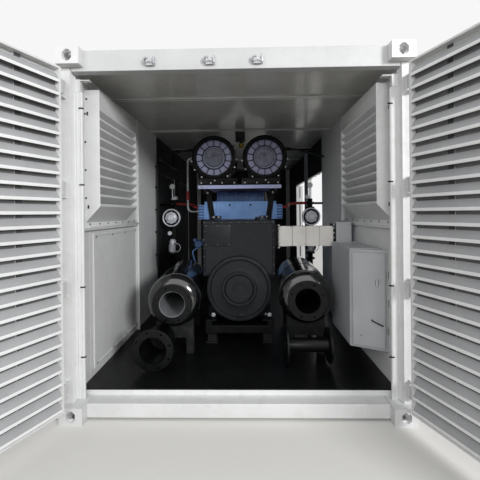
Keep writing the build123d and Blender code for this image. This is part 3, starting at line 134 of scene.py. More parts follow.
def enamel(name, tone, shade, roughness, patch=450, peel=9, peel_depth=0.12, dust="#8C8A84",
           dust_share=0.0, coat=0.0, metallic=0.0, specular=0.5):
    """Sprayed enamel: two tones in patches, dust, scuffs and orange peel. Sizes in mm."""
    finish = blank_finish(name)
    place = add_node(finish, "ShaderNodeTexCoord").outputs["Object"]
    broad = add_node(finish, "ShaderNodeTexNoise",
                     {"Scale": 1 / (patch * MM), "Detail": 4.0, "Roughness": 0.6}, {"Vector": place})
    drift = add_node(finish, "ShaderNodeMapRange", {"From Min": 0.35, "From Max": 0.65},
                     {"Value": broad.outputs["Fac"]})
    tones = add_node(finish, "ShaderNodeMix", {"data_type": "RGBA", 6: linear(shade), 7: linear(tone)},
                     {0: drift.outputs["Result"]})
    fine = add_node(finish, "ShaderNodeTexNoise", {"Scale": 1 / (DUST_GRAIN * MM), "Detail": 8.0,
        "Roughness": 0.75}, {"Vector": place})
    film = add_node(finish, "ShaderNodeMapRange",
                    {"From Min": 0.5, "From Max": 0.78, "To Min": 0.0, "To Max": dust_share},
                    {"Value": fine.outputs["Fac"]})
    dusty = add_node(finish, "ShaderNodeMix", {"data_type": "RGBA", 7: linear(dust)},
                     {0: film.outputs["Result"], 6: tones.outputs[2]})
    dull = add_node(finish, "ShaderNodeMapRange",
                    {"From Min": 0.3, "From Max": 0.7, "To Min": max(roughness - 0.06, 0.05),
                     "To Max": roughness + 0.1}, {"Value": fine.outputs["Fac"]})
    skin = add_node(finish, "ShaderNodeTexNoise", {"Scale": 1 / (peel * MM), "Detail": 2.0},
        {"Vector": place})
    bump = add_node(finish, "ShaderNodeBump", {"Strength": peel_depth, "Distance": 0.6 * MM},
                    {"Height": skin.outputs["Fac"]})
    shader = add_node(finish, "ShaderNodeBsdfPrincipled", {"Metallic": metallic,
        "Specular IOR Level": specular, "Coat Weight": coat, "Coat IOR": 1.8, "Coat Roughness": 0.1},
        {"Base Color": dusty.outputs[2], "Roughness": dull.outputs["Result"],
        "Normal": bump.outputs["Normal"]})
    add_node(finish, "ShaderNodeOutputMaterial", links={"Surface": shader.outputs["BSDF"]})
    return finish


# %% [markdown]
# ## The paints of this set
# The container is a light neutral grey and the deck a worn black; the ceiling is a glossier sheet,
# painted a little darker than the walls as a painted shade. The engine maker's blue comes in two
# depths, the alternator is charcoal, and the silencers wear a thick black stove enamel that mirrors the
# daylight. Zinc, brass and the spun filter cones are bare metal with a high metallic value; cast alloy,
# mesh and liners are dull or coated, so theirs is low. Black paints get a low specular level, or they
# look grey.

# %% Finishes by slot
finishes = {
    "container_paint": enamel("satin_container_enamel", "#D9DADA", "#CFD0D0", 0.42, dust="#9B9992",
        dust_share=0.22),
    # Ceiling: a little darker than the walls, a painted shade.
    "ceiling_enamel": enamel("gloss_ceiling_enamel", "#D0CFCB", "#C0BFBB", 0.2, peel_depth=0.06,
        coat=0.3),
    "deck_black": enamel("black_deck_paint", "#0D0E0F", "#070808", 0.38, dust="#262522", dust_share=0.3,
        specular=0.3),
    "galvanised_steel": enamel("zinc_plated_steel", "#B4B6B8", "#9A9DA0", 0.36, patch=60,
        metallic=0.85),
    "alternator_paint": enamel("charcoal_satin_paint", "#191B1F", "#141619", 0.42, dust_share=0.05,
        specular=0.25),
    "skid_paint": enamel("black_satin_paint", "#0A0B0C", "#060708", 0.42, dust="#35342F",
        dust_share=0.15, specular=0.15),
    "mount_rubber": enamel("moulded_rubber", "#1B1B1B", "#131313", 0.75, peel=4, specular=0.25),
    "engine_blue": enamel("blue_engine_enamel", "#7CA2D8", "#668FC8", 0.36, patch=200, coat=0.2),
    "engine_dark_blue": enamel("dark_blue_engine_enamel", "#34568A", "#294879", 0.36, patch=200,
        coat=0.2),
    "cast_iron_dark": enamel("dark_painted_iron", "#15171A", "#0E1012", 0.5, peel=6, peel_depth=0.3,
        specular=0.2),
    "filter_black": enamel("black_canister_enamel", "#050506", "#030304", 0.34, specular=0.15),
    "filter_mesh": enamel("coated_filter_mesh", "#7B7D94", "#696B80", 0.4, metallic=0.35),
    "shelf_paint": enamel("lilac_silver_paint", "#9CA1C2", "#8C91B4", 0.35, metallic=0.35),
    "silencer_black": enamel("gloss_black_stove_enamel", "#0B0C0F", "#070809", 0.12, peel_depth=0.05,
        coat=0.65),
    # Grey-green primer darkened almost to black: the stands' own colour with painted shade.
    "stand_paint": enamel("grey_green_primer_in_painted_shade", "#141716", "#0E100F", 0.55, dust_share=0.1,
        specular=0.25),
    "gas_train_black": enamel("black_pipe_paint", "#0C0D0F", "#08090A", 0.35, specular=0.2),
    "regulator_alloy": enamel("cast_alloy_satin", "#E9ECF2", "#D6DAE2", 0.3, patch=50, metallic=0.2),
    "hose_red": enamel("red_silicone_hose", "#8E2A22", "#6B1C18", 0.45, patch=60),
    "cabinet_paint": enamel("grey_powder_coat", "#ABADB0", "#9FA1A4", 0.5, peel=5, peel_depth=0.25),
    "duct_cloth": enamel("coated_duct_cloth", "#DEDBD7", "#D2CFCB", 0.6, patch=120),
}
# Finishes of small fittings and of single faces.
extras = {
    "brass": enamel("turned_brass", "#B08D3F", "#8F6F2E", 0.3, patch=30, metallic=0.9),
    "dial_white": enamel("printed_dial_white", "#E4E4E0", "#D8D8D2", 0.5, patch=60),
    # Dark grey: painted shade on the door blades; also the colour of the terminal screws.
    "grimy_paint": enamel("dark_grey_enamel", "#7C7D7E", "#6A6B6C", 0.6, dust="#525253",
        dust_share=0.4),
    # Dark grey for the inner faces at the rear: a painted shade.
    "lining": enamel("dark_grey_lining", "#36373A", "#2B2C2E", 0.8, peel=14, peel_depth=0.5,
        specular=0.1),
    "spun_metal": enamel("spun_zinc_disc", "#62646F", "#50525C", 0.24, patch=90, peel_depth=0.03,
        metallic=0.9),
    # Darker coat with dust: dust and painted shade on the upward blade slopes.
    "dusty_paint": enamel("dust_and_shade_enamel", "#A6A7A9", "#9A9B9D", 0.55, dust="#88888A",
        dust_share=0.3),
    # Dark coat: a painted shade on the stiffener bars deep in the door blades.
    "shaded_paint": enamel("painted_shade_black", "#4A4B4C", "#3E3F40", 0.6, dust_share=0.15),
    # Bright coat: a painted highlight on the upright blade lips.
    "lip_paint": enamel("lip_highlight_enamel", "#EAEBEB", "#E0E1E1", 0.36, dust="#9B9992", dust_share=0.12),
    # Darker copy of the container paint: a painted shade on the door header.
    "header_paint": enamel("shaded_container_enamel", "#C2C3C4", "#B9BABB", 0.42, dust="#9B9992",
        dust_share=0.22),
    "liner": enamel("perforated_liner_steel", "#85878B", "#6E7074", 0.45, patch=40, metallic=0.2),
}
slot_of = {row["node"]: row["material_slot"] for row in frame["record"]["subparts"]}
for name, item in nodes.items():
    item.data.materials.clear()
    item.data.materials.append(finishes[slot_of[name]])
print("finishes:", len(finishes) + len(extras))

# %% [markdown]
# ## Floor and light
# The set stands on a plain pale studio floor. The container shades its own inside, so the light
# comes in through the open doors: a key lamp from the right, and a broad fill lamp that stays
# out of the mirror images on gloss. A weak side lamp shines in through the doorways on the
# right. The dome is dim near the ground, but gloss mirrors a brighter one, and the floor gives
# back less light than it shows.

# %% Studio floor
bpy.ops.object.select_all(action="DESELECT")
bpy.ops.mesh.primitive_plane_add(size=60, location=(0, 0, 0))
studio_floor = bpy.context.object
studio_floor.name = "studio_floor"
pale = blank_finish("pale_studio_floor")
seen = add_node(pale, "ShaderNodeLightPath")
floor_tone = add_node(pale, "ShaderNodeMix", {"data_type": "RGBA", 6: linear("#D8D7D4"),
    7: linear("#85837D")},
                      {0: seen.outputs["Is Diffuse Ray"]})
pale_shader = add_node(pale, "ShaderNodeBsdfPrincipled", {"Roughness": 0.8},
    {"Base Color": floor_tone.outputs[2]})
add_node(pale, "ShaderNodeOutputMaterial", links={"Surface": pale_shader.outputs["BSDF"]})
studio_floor.data.materials.append(pale)

# %% World and lamps
world = bpy.data.worlds.new("studio")
scene.world = world
world.use_nodes = True
backdrop = world.node_tree.nodes["Background"]
backdrop.inputs["Color"].default_value = linear("#FFFFFF")
compass = add_node(world, "ShaderNodeTexCoord")
height = add_node(world, "ShaderNodeSeparateXYZ", links={"Vector": compass.outputs["Generated"]})
dome = add_node(world, "ShaderNodeMapRange", {"From Min": 0.02, "From Max": 0.6, "To Min": 0.06,
    "To Max": 0.75},
                {"Value": height.outputs["Z"]})
looking = add_node(world, "ShaderNodeLightPath")
bright_sky = add_node(world, "ShaderNodeMapRange", {"From Min": 0.0, "From Max": 0.4, "To Min": 0.3,
    "To Max": 1.6},
                      {"Value": height.outputs["Z"]})
sky = add_node(world, "ShaderNodeMix", {"data_type": "FLOAT"},
               {0: looking.outputs["Is Glossy Ray"], 2: dome.outputs["Result"],
                   3: bright_sky.outputs["Result"]})
glow = add_node(world, "ShaderNodeMix", {"data_type": "FLOAT", 3: 0.93},
                {0: looking.outputs["Is Camera Ray"], 2: sky.outputs[0]})
world.node_tree.links.new(glow.outputs[0], backdrop.inputs["Strength"])


def soft_lamp(name, place, aim, size, power, mirrored=True):
    """Area lamp at a place, aimed at a point; a lamp that isn't mirrored leaves no glare on gloss."""
    lamp = bpy.data.lights.new(name, "AREA")
    lamp.shape = "RECTANGLE"
    lamp.size, lamp.size_y = size
    lamp.energy = power
    stand = bpy.data.objects.new(name, lamp)
    scene.collection.objects.link(stand)
    stand.location = place
    stand.visible_glossy = mirrored
    stand.rotation_euler = (Vector(aim) - Vector(place)).to_track_quat("-Z", "Y").to_euler()


soft_lamp("key_lamp", (-11.5, -6.7, 4.6), (-2.2, 0.8, 1.2), (3.0, 2.2), 920)
soft_lamp("fill_lamp", (-10.0, 1.5, 3.4), (-1.0, 0.0, 1.5), (8.0, 2.4), 290, mirrored=False)
soft_lamp("side_lamp", (0.2, -6.0, 2.2), (0.2, 0.0, 1.2), (5.0, 2.4), 20)

# %% [markdown]
# ## Hand tools
# The pieces below are made as by hand: a primitive or a drawn profile is put in its place,
# faces are picked by the way they look, and edit-mode operators shape them. These few helpers
# clear the selection, pick faces, spin a profile round an axis, run a tube along a route,
# copy a master piece and give a finished piece its smooth shading, paint and body.

# %% Places and selections
FRONT = -3.029
AXIS = {"x": (1, 0, 0), "y": (0, 1, 0), "z": (0, 0, 1)}


def at(station, side, level):
    """Place from millimetres behind the door sill, to the left of the middle and above the ground."""
    return Vector((FRONT + station * MM, side * MM, level * MM))


def select_only(*items):
    """Deselect everything, then select these pieces; the first one is active."""
    bpy.ops.object.select_all(action="DESELECT")
    for item in items:
        item.select_set(True)
    bpy.context.view_layer.objects.active = items[0]


def open_mesh(item, kind="FACE"):
    """Enter edit mode on one piece with nothing selected."""
    select_only(item)
    bpy.ops.object.mode_set(mode="EDIT")
    bpy.ops.mesh.select_mode(type=kind)
    bpy.ops.mesh.select_all(action="DESELECT")


def pick_faces(item, test):
    """In edit mode, select the faces whose normal passes a test."""
    bpy.ops.mesh.select_all(action="DESELECT")
    mesh = bmesh.from_edit_mesh(item.data)
    for face in mesh.faces:
        face.select_set(test(face.normal))
    bmesh.update_edit_mesh(item.data)


def close_mesh():
    """In edit mode, merge doubles and turn every face outwards, then leave it."""
    bpy.ops.mesh.select_all(action="SELECT")
    bpy.ops.mesh.remove_doubles(threshold=0.00002)
    bpy.ops.mesh.normals_make_consistent(inside=False)
    bpy.ops.object.mode_set(mode="OBJECT")


def apply_all(item):
    """Apply the piece's modifiers, then its place, turn and scale."""
    select_only(item)
    for step in list(item.modifiers):
        bpy.ops.object.modifier_apply(modifier=step.name)
    bpy.ops.object.transform_apply(location=True, rotation=True, scale=True)


# %% Pieces from a box, a profile and a route
def block(name, low, high, bevel=0.0):
    """Box between two corners in metres, with its edges bevelled by a width in mm."""
    low, high = Vector(low), Vector(high)
    size = Vector([abs(v) for v in high - low])
    bpy.ops.object.select_all(action="DESELECT")
    bpy.ops.mesh.primitive_cube_add(size=1, location=(low + high) / 2, scale=size)
    item = bpy.context.object
    item.name = name
    apply_all(item)
    if bevel:
        open_mesh(item, "EDGE")
        bpy.ops.mesh.select_all(action="SELECT")
        bpy.ops.mesh.bevel(offset=bevel * MM, segments=2, affect="EDGES")
        close_mesh()
    return item


def turned(name, profile, place=(0, 0, 0), axis="x", steps=48):
    """Spin a profile of (along, radius) pairs in mm round an axis through a place."""
    mesh = bpy.data.meshes.new(name)
    along, out = Vector(AXIS[axis]), Vector(AXIS["z" if axis != "z" else "x"])
    points = [Vector(place) + along * a * MM + out * r * MM for a, r in profile]
    mesh.from_pydata(points, [(i, i + 1) for i in range(len(points) - 1)], [])
    item = bpy.data.objects.new(name, mesh)
    scene.collection.objects.link(item)
    open_mesh(item, "VERT")
    bpy.ops.mesh.select_all(action="SELECT")
    bpy.ops.mesh.spin(steps=steps, angle=math.tau, center=place, axis=AXIS[axis])
    close_mesh()
    return item


def bent_tube(name, points, radius, corner=0.0, sides=14, rings=4):
    """Round tube in mm along places in metres; the corners are bevelled into bends."""
    mesh = bpy.data.meshes.new(name)
    mesh.from_pydata([Vector(p) for p in points], [(i, i + 1) for i in range(len(points) - 1)], [])
    item = bpy.data.objects.new(name, mesh)
    scene.collection.objects.link(item)
    if corner and len(points) > 2:
        open_mesh(item, "VERT")
        shape = bmesh.from_edit_mesh(item.data)
        shape.verts.ensure_lookup_table()
        for vert in shape.verts:
            vert.select_set(len(vert.link_edges) == 2)
        bmesh.update_edit_mesh(item.data)
        bpy.ops.mesh.bevel(offset=corner * MM, segments=rings, affect="VERTICES")
        bpy.ops.object.mode_set(mode="OBJECT")
    select_only(item)
    bpy.ops.object.convert(target="CURVE")
    item = bpy.context.object
    item.data.bevel_depth = radius * MM
    item.data.bevel_resolution = max(sides // 4, 1)
    item.data.use_fill_caps = True
    bpy.ops.object.convert(target="MESH")
    item = bpy.context.object
    item.name = name
    open_mesh(item)
    close_mesh()
    return item


def slab(name, low, high, bevel=0.0):
    """Box between two corners in mm, each as station, side and level, with bevelled edges."""
    return block(name, at(*low), at(*high), bevel)


def pressed(item, way, border, depth):
    """Inset the faces that look one way by a border and press them in by a depth, in mm."""
    open_mesh(item)
    pick_faces(item, lambda normal: normal.dot(Vector(way)) > 0.9)
    bpy.ops.mesh.inset(thickness=border * MM)
    bpy.ops.transform.translate(value=Vector(way) * -depth * MM)
    close_mesh()


def flat_ring(half, inner, outer):
    """Profile of a flat ring: half its width and its two radii in mm."""
    return [(-half, inner), (-half, outer), (half, outer), (half, inner), (-half, inner)]


# %% Copies, joins and finishing
def joined(name, items):
    """Join pieces into the first one."""
    items = list(items)
    select_only(*items)
    if len(items) > 1:
        bpy.ops.object.join()
    items[0].name = name
    return items[0]


def aimed(place, direction):
    """Matrix that sets a master modelled along +Z at a place, facing a direction."""
    return Matrix.Translation(place) @ Vector(direction).to_track_quat("Z", "Y").to_matrix().to_4x4()


def facing(station, side, level, way=(-1, 0, 0)):
    """Matrix that sets a master at a place in mm, facing the open end or another way."""
    return aimed(at(station, side, level), way)


def copies(name, master, places):
    """Copy a master piece, each copy with its own mesh, to a list of places, and join them."""
    twins = []
    for place in places:
        twin = bpy.data.objects.new(name, master.data.copy())
        scene.collection.objects.link(twin)
        twin.matrix_world = place if isinstance(place, Matrix) else Matrix.Translation(place)
        twins.append(twin)
    bpy.data.objects.remove(master)
    item = joined(name, twins)
    apply_all(item)
    return item


def paint_of(name):
    """The finish of a slot or of a small fitting, by its name."""
    return extras[name] if name in extras else finishes[name]


def finish_piece(item, paint, slot=None, body="enclosure", replaces=(), smooth=35):
    """Shade, paint and place a finished piece on its body."""
    apply_all(item)
    open_mesh(item)
    close_mesh()
    bpy.ops.object.shade_smooth_by_angle(angle=math.radians(smooth))
    item.data.materials.clear()
    item.data.materials.append(paint_of(paint))
    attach(item, body)
    if replaces:
        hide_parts(*replaces)
    print(item.name, "faces:", len(item.data.polygons))
    return item


def dress(name, parts, paint, slot=None, **more):
    """Join some pieces into one and finish it."""
    return finish_piece(joined(name, parts), paint, slot, **more)


def stand_in(node, parts, paint, **more):
    """Join the pieces that stand for one solid node, finish them and hide that node."""
    return dress(node + "_dressed", parts, paint, slot_of[node], replaces=(node,), **more)


def screwed(name, head, spots, paint="galvanised_steel", slot=None):
    """Copy a bolt or screw head to its places and finish the row."""
    return finish_piece(copies(name, head, spots), paint, slot)


def repaint(item, paint, test):
    """Give a second paint to the faces that pass a test."""
    item.data.materials.append(paint_of(paint))
    picked = [face for face in item.data.polygons if test(face)]
    for face in picked:
        face.material_index = len(item.data.materials) - 1
    print(item.name, paint, "on faces:", len(picked))


def hex_bolt(across):
    """Bolt head with its washer, modelled at the origin along +Z; width across flats in mm."""
    washer = turned("washer", [(0, 0), (0, across * 0.8), (across * 0.14, across * 0.78),
        (across * 0.16, 0)], axis="z", steps=12)
    bpy.ops.object.select_all(action="DESELECT")
    bpy.ops.mesh.primitive_cylinder_add(vertices=6, radius=across * 0.577 * MM, depth=across * 0.6 * MM,
                                        location=(0, 0, across * 0.4 * MM))
    head = bpy.context.object
    apply_all(head)
    open_mesh(head)
    pick_faces(head, lambda normal: normal.z > 0.9)
    bpy.ops.mesh.inset(thickness=across * 0.08 * MM)
    bpy.ops.transform.translate(value=(0, 0, across * 0.06 * MM))
    bpy.ops.object.mode_set(mode="OBJECT")
    return joined("bolt", [head, washer])


def ring_places(count, radius, place, direction=(-1, 0, 0), turn=0.0):
    """Matrices for a bolt circle round a place, facing a direction."""
    base = aimed(place, direction)
    spots = []
    for i in range(count):
        angle = turn + math.tau * i / count
        spots.append(base @ Matrix.Translation((radius * MM * math.cos(angle),
            radius * MM * math.sin(angle), 0)))
    return spots


# %% [markdown]
# ## Soft edges on the solid parts
# No rolled, folded or cast edge is a knife edge: each one catches a thin line of light, and
# that line is what makes steel look real. Each solid below is copied, its loose triangles are
# merged into whole faces, and a Bevel modifier rounds the edges that turn by more than a set
# angle. The copy then stands for the solid, at the same place and size.

# %% Soften the structure
def body_of(node):
    """The moving body that a node belongs to."""
    for side in ("left", "right"):
        if node.startswith(side + "_door_"):
            return side + "_door"
    return "enclosure"


SOFT_ANGLE = 28


def softened(node, width, paint=None):
    """A copy of a solid with bevelled edges, in place of that solid. Width in mm."""
    item = bpy.data.objects.new(node + "_dressed", nodes[node].data.copy())
    scene.collection.objects.link(item)
    open_mesh(item)
    bpy.ops.mesh.select_all(action="SELECT")
    bpy.ops.mesh.remove_doubles(threshold=0.00005)
    bpy.ops.mesh.tris_convert_to_quads(face_threshold=math.radians(1),
        shape_threshold=math.radians(170))
    bpy.ops.object.mode_set(mode="OBJECT")
    bevel = item.modifiers.new("soft_edges", "BEVEL")
    bevel.width = width * MM
    bevel.limit_method = "ANGLE"
    bevel.angle_limit = math.radians(SOFT_ANGLE)
    return finish_piece(item, paint or slot_of[node], slot_of[node], body_of(node), (node,), smooth=26)


for node, width in {
    "corner_castings": 5, "bottom_rails": 3, "cross_members": 2, "front_posts": 2.5,
    "top_rails": 3, "rear_frame": 3, "wall_lintels": 2, "intake_sills": 2, "left_intake_hood": 2,
    "right_intake_hood": 2, "wall_ledges": 2, "wall_hatch": 2, "left_side_doors": 3,
    "right_side_doors": 3, "left_door_frame": 2, "right_door_frame": 2,
    "left_door_locks": 1.5, "right_door_locks": 1.5, "skid": 4,
    "terminal_box": 5, "engine_block": 8, "oil_sump": 8, "cylinder_heads": 6, "charge_air_cooler": 4,
    "filter_shelf": 1.5, "shelf_struts": 2, "power_cabinet": 3, "duct_end_box": 2,
    "silencer_stands": 2, "alternator_frame": 3, "flywheel_housing": 3,
}.items():
    softened(node, width)
# The door header takes the darker copy of the container paint, a painted shade.
softened("door_header", 2.5, paint="header_paint")

# %% [markdown]
# ## Painted light and shade on the louvre blades
# A louvre blade on the end doors rises from its lip to a crown and drops steeply outside. The faces are
# picked by the way they look, each coat over the one before, and the coats paint in the light and shade
# that fall on the folds. The upright lips get a bright coat, a painted highlight, and the stiffener
# bars, which lie deeper in the door than the lips, a darker one, a painted shade. The slopes above the
# lips get a darker coat with dust in it, partly painted shade, and the faces that look slightly down a
# dark grey one, a painted shade.

# %% Painted highlight, painted shade and dust on the door blades
END_DOORS = (("left", 1, 113), ("right", -1, 110))
STIFFENER_DEPTH = 60 * MM


def hinge_of(sign):
    """Foot of the hinge line of an end door, left for 1 and right for -1."""
    return at(22, sign * 1199, 0)


for side, sign, opened in END_DOORS:
    item = softened(side + "_door_blades", 0.5)
    swing = math.radians(opened) * -sign
    inward = Vector((math.cos(swing), math.sin(swing), 0))
    lip_plane = hinge_of(sign).dot(inward) + STIFFENER_DEPTH
    # Upright lips: a brighter coat, a painted highlight.
    repaint(item, "lip_paint", lambda face: face.normal.dot(inward) > 0.9)
    # Stiffener bars deep in the door: a dark coat, a painted shade.
    repaint(item, "shaded_paint", lambda face: (
        face.normal.dot(inward) > 0.9 and face.center.dot(inward) < lip_plane))
    # Upward slopes above the lips: a darker coat, dust and painted shade.
    repaint(item, "dusty_paint",
        lambda face: face.normal.dot(inward) > 0.6 and 0.35 < face.normal.z < 0.7)
    # Faces that look slightly down, on the back of the drop: dark grey, a painted shade.
    repaint(item, "grimy_paint",
        lambda face: face.normal.dot(inward) > 0.85 and -0.4 < face.normal.z < -0.1)

# %% [markdown]
# ## Door header and posts
# Each lock rod of the end doors ends in a cam that turns into a keeper on the header: a small
# forged bracket with a ring and an upright tab. Between the doors and the posts there are
# sealing strips, cable ties and small brackets. They are small, but they sit in full light at the front
# edge, so they are modelled: blocks are bevelled, and a ring is spun for each keeper's eye.

# %% Cam keepers on the header
keeper_parts = []
for side in (583, 167, -165):
    base = slab("keeper", (48, side - 34, 2472), (66, side + 34, 2494), 4)
    tab = slab("keeper", (30, side - 34, 2474), (50, side - 20, 2532), 4)
    lip = slab("keeper", (34, side - 20, 2486), (50, side + 10, 2500), 4)
    ring = turned("keeper", [(-8, 13), (-6, 24), (6, 24), (8, 13), (-8, 13)], at(44, side + 22, 2504),
        "x", 20)
    bolt = copies("keeper", hex_bolt(13), [facing(48, side - 4, 2483)])
    keeper_parts += [base, tab, lip, ring, bolt]
dress("cam_keepers", keeper_parts, "galvanised_steel", "container_paint")

# %% Seal strips, brackets and ties on the posts
seal_parts, tie_parts = [], []
for sign in (1, -1):
    edge = sign * 1094
    seal_parts += [
        bent_tube("seal", [at(121, edge + sign * 6, 120), at(121, edge + sign * 6, 2312)], 11,
            sides=12),
        bent_tube("seal", [at(119, edge + sign * 38, 120), at(119, edge + sign * 38, 2312)], 8,
            sides=12),
    ]
    bracket = slab("bracket", (110, sign * 1104, 2318), (152, sign * 1146, 2410), 4)
    pressed(bracket, (-1, 0, 0), 8, 5)
    seal_parts += [
        bracket,
        slab("plate", (110, sign * 1036, 2398), (152, sign * 1108, 2404), 1),
    ]
    for level in (2203, 1655, 922, 420):
        tie_parts += [
            turned("tie", flat_ring(5, 11, 14), at(124, edge + sign * 6, level), "z", 16),
            slab("tie", (109, edge - 4, level - 4), (116, edge + 22, level + 5), 1),
        ]
dress("post_seals", seal_parts, "container_paint")
dress("cable_ties", tie_parts, "gas_train_black")

# %% [markdown]
# ## Intake hoods, ledges and wall joints
# The hoods are folded from sheet and screwed to the walls through flanges. Screw heads, the
# folded strip under each hood and the upright joint behind it break up the pale sheet. The
# screws are one turned head, modelled once and copied to every place.

# %% Hood screws and strips
def pan_screw(width):
    """Domed screw head along +Z, width in mm."""
    return turned("screw", [(0, width * 0.5), (width * 0.16, width * 0.47), (width * 0.3, width * 0.3),
        (width * 0.34, 0)], axis="z", steps=12)


WALL, HOOD_END = 1150, 1398
screw_spots = []
for sign, start in ((1, 262), (-1, 217)):
    for side, level in ((1134, 2322), (1146, 2210), (1128, 2218), (1128, 2204), (1144, 1995),
            (1144, 1781), (1143, 1568), (1126, 1507), (1126, 1493)):
        screw_spots.append(facing(start, sign * side, level))
    strips = [slab("strip", (near, sign * inner, bottom), (far, sign * WALL, top), bevel)
              for near, far, inner, bottom, top, bevel in (
                  (start, HOOD_END, 1118, 1338, 1352, 1.5), (start, HOOD_END, 1139, 1350, 1381, 1.5),
                  (HOOD_END, 1404, 1118, 122, 2500, 1), (1404, 1438, 1142, 122, 2500, 1),
                  (190, HOOD_END, 1128, 2440, 2446, 1))]
    dress(("left" if sign > 0 else "right") + "_hood_strips", strips, "container_paint")
    inward = (0, -sign, 0)
    screw_spots += [facing(station, sign * 1139, 1366, inward)
        for station in range(start + 50, 1380, 165)]
    screw_spots += [facing(1422, sign * 1142, level, inward) for level in range(240, 2460, 185)]
screwed("hood_screws", pan_screw(15), screw_spots, "gas_train_black", "galvanised_steel")

# %% Hatch fasteners
hatch_spots = [facing(station, 1141, level, (0, -1, 0)) for station in (420, 740, 1050, 1350)
    for level in (240, 1262)]
screwed("hatch_screws", pan_screw(18), hatch_spots)

# %% [markdown]
# ## Painted shade at the rear
# Behind the intakes the inner faces of the walls, the left side doors and the rear wall are painted
# dark grey, a painted shade for the dim rear of the container, while the outside stays painted. The
# wall sheets run the whole length, so each is first cut across with Bisect where the dark paint begins,
# and the inner faces behind the cut then take the dark finish.

# %% Cut the walls and paint their rear inner faces dark
LEFT_LINING, RIGHT_LINING = at(2240, 0, 0).x, at(3900, 0, 0).x
WHOLE_PIECE, WALL_SKIN = -9, 1.17


def looks_inside(face):
    """Whether a face lies on the inner skin of a side wall and looks into the container."""
    return abs(face.center.y) < WALL_SKIN and face.normal.y * face.center.y < -0.2


for name, paint_from in {
    "left_wall_panels": LEFT_LINING, "right_wall_panels": RIGHT_LINING, "rear_wall": WHOLE_PIECE,
    "left_side_doors": WHOLE_PIECE, "wall_lintels": LEFT_LINING,
}.items():
    item = bpy.data.objects.get(name + "_dressed") or softened(name, 2)
    if paint_from > WHOLE_PIECE:
        open_mesh(item)
        bpy.ops.mesh.select_all(action="SELECT")
        bpy.ops.mesh.bisect(plane_co=(paint_from, 0, 0), plane_no=(1, 0, 0))
        bpy.ops.object.mode_set(mode="OBJECT")
    # Inner faces behind the cut: dark grey, a painted shade.
    repaint(item, "lining", lambda face: face.center.x > paint_from and (
        face.normal.x < -0.5 if name == "rear_wall" else looks_inside(face)))

# %% [markdown]
# ## Air filters
# Two round canisters stand on a shelf above the engine and draw air through pleated discs. A
# canister is a turned shape, so its profile is drawn once and spun: rolled mouth, clamp band,
# plain drum, second band. The disc behind the mouth is perforated sheet pressed into two rings
# and stiffened by fourteen ribs, each one a bevelled bar copied round the middle.

# %% Canisters
FILTER_SIDE, FILTER_LEVEL, BAND = 292, 2083, 262


def on_band(sign, angle):
    """Side and level of a place on the clamp bands of a filter, at an angle round it."""
    return sign * FILTER_SIDE + BAND * math.cos(angle), FILTER_LEVEL + BAND * math.sin(angle)


canister = [(64, 0), (64, 203), (30, 205), (6, 208), (0, 214), (0, 232), (6, 240), (20, 242), (22, 251),
            (26, 255), (42, 255), (47, 251), (50, 244), (70, 243), (470, 243), (474, 251), (480, 254),
            (494, 254), (500, 251), (504, 243), (538, 243), (556, 226), (560, 205), (560, 0)]
drums = [turned("canister", canister, at(1520, sign * FILTER_SIDE, FILTER_LEVEL), "x", 72)
    for sign in (1, -1)]
for sign in (1, -1):
    for station, turn in ((34, 0.5), (34, 2.6), (34, 4.4), (487, 0.9), (487, 3.9)):
        angle = turn * sign
        side, level = on_band(sign, angle)
        lug = block("lug", (-16 * MM, -9 * MM, -7 * MM), (16 * MM, 9 * MM, 7 * MM), bevel=3)
        turned_out = Matrix.Rotation(angle, 4, "X")
        lug.matrix_world = Matrix.Translation(at(1520 + station, side, level)) @ turned_out
        apply_all(lug)
        drums.append(lug)
    saddle = slab("saddle", (1534, sign * 24, 1765), (2060, sign * 462, 1846), 6)
    pressed(saddle, (-1, 0, 0), 14, 8)
    drums.append(saddle)
    for station in (1600, 1990):
        drums.append(slab("wedge", (station, sign * FILTER_SIDE - 190, 1840),
                          (station + 26, sign * FILTER_SIDE + 190, 1930), 3))
stand_in("air_filters", drums, "filter_black")

# %% Clamp bolts on the bands
clamp_spots = []
for sign in (1, -1):
    for angle in (-0.15, -0.55, -1.0, -1.6, -2.2, -2.7, -3.05):
        clamp_spots.append(facing(1540, *on_band(sign, angle)))
    clamp_spots += [facing(1534, sign * side, 1792) for side in (60, 200, 330, 440)]
screwed("filter_bolts", hex_bolt(11), clamp_spots)

# %% Mesh discs with rings and ribs
disc_profile = [(22, 108), (12, 108), (12, 126), (8, 128), (8, 134), (14, 138), (16, 140), (13, 192),
    (8, 196), (8, 201), (22, 202)]
cone_profile = [(26, 0), (2, 0), (3, 20), (14, 104), (12, 110), (20, 112), (26, 110)]
RIBS = 14
discs, cones, ribs = [], [], []
for sign in (1, -1):
    middle = at(1536, sign * FILTER_SIDE, FILTER_LEVEL)
    discs.append(turned("disc", disc_profile, middle, "x", 72))
    cones.append(turned("cone", cone_profile, middle, "x", 72))
    for i in range(RIBS):
        angle = math.tau * (i + 0.5) / RIBS
        bar = block("rib", (2 * MM, 134 * MM, -4.2 * MM), (17 * MM, 201 * MM, 4.2 * MM), bevel=1)
        bar.matrix_world = Matrix.Translation(middle) @ Matrix.Rotation(angle, 4, "X")
        apply_all(bar)
        ribs.append(bar)
    ribs += [
        turned("rib", [(-2, 125), (-2, 135), (11, 135), (11, 125), (-2, 125)], middle, "x", 56),
        turned("rib", [(4, 106), (4, 110), (13, 110), (13, 106), (4, 106)], middle, "x", 48),
    ]
dress("filter_cones", cones, "spun_metal", "filter_mesh")
dress("filter_discs", discs, "filter_mesh", replaces=("filter_grilles",))
dress("filter_ribs", ribs, "filter_black")

# %% Black cradles on the pale shelf
SHELF_TOP = 1.7655
repaint(bpy.data.objects["filter_shelf_dressed"], "filter_black",
    lambda face: face.center.z > SHELF_TOP)

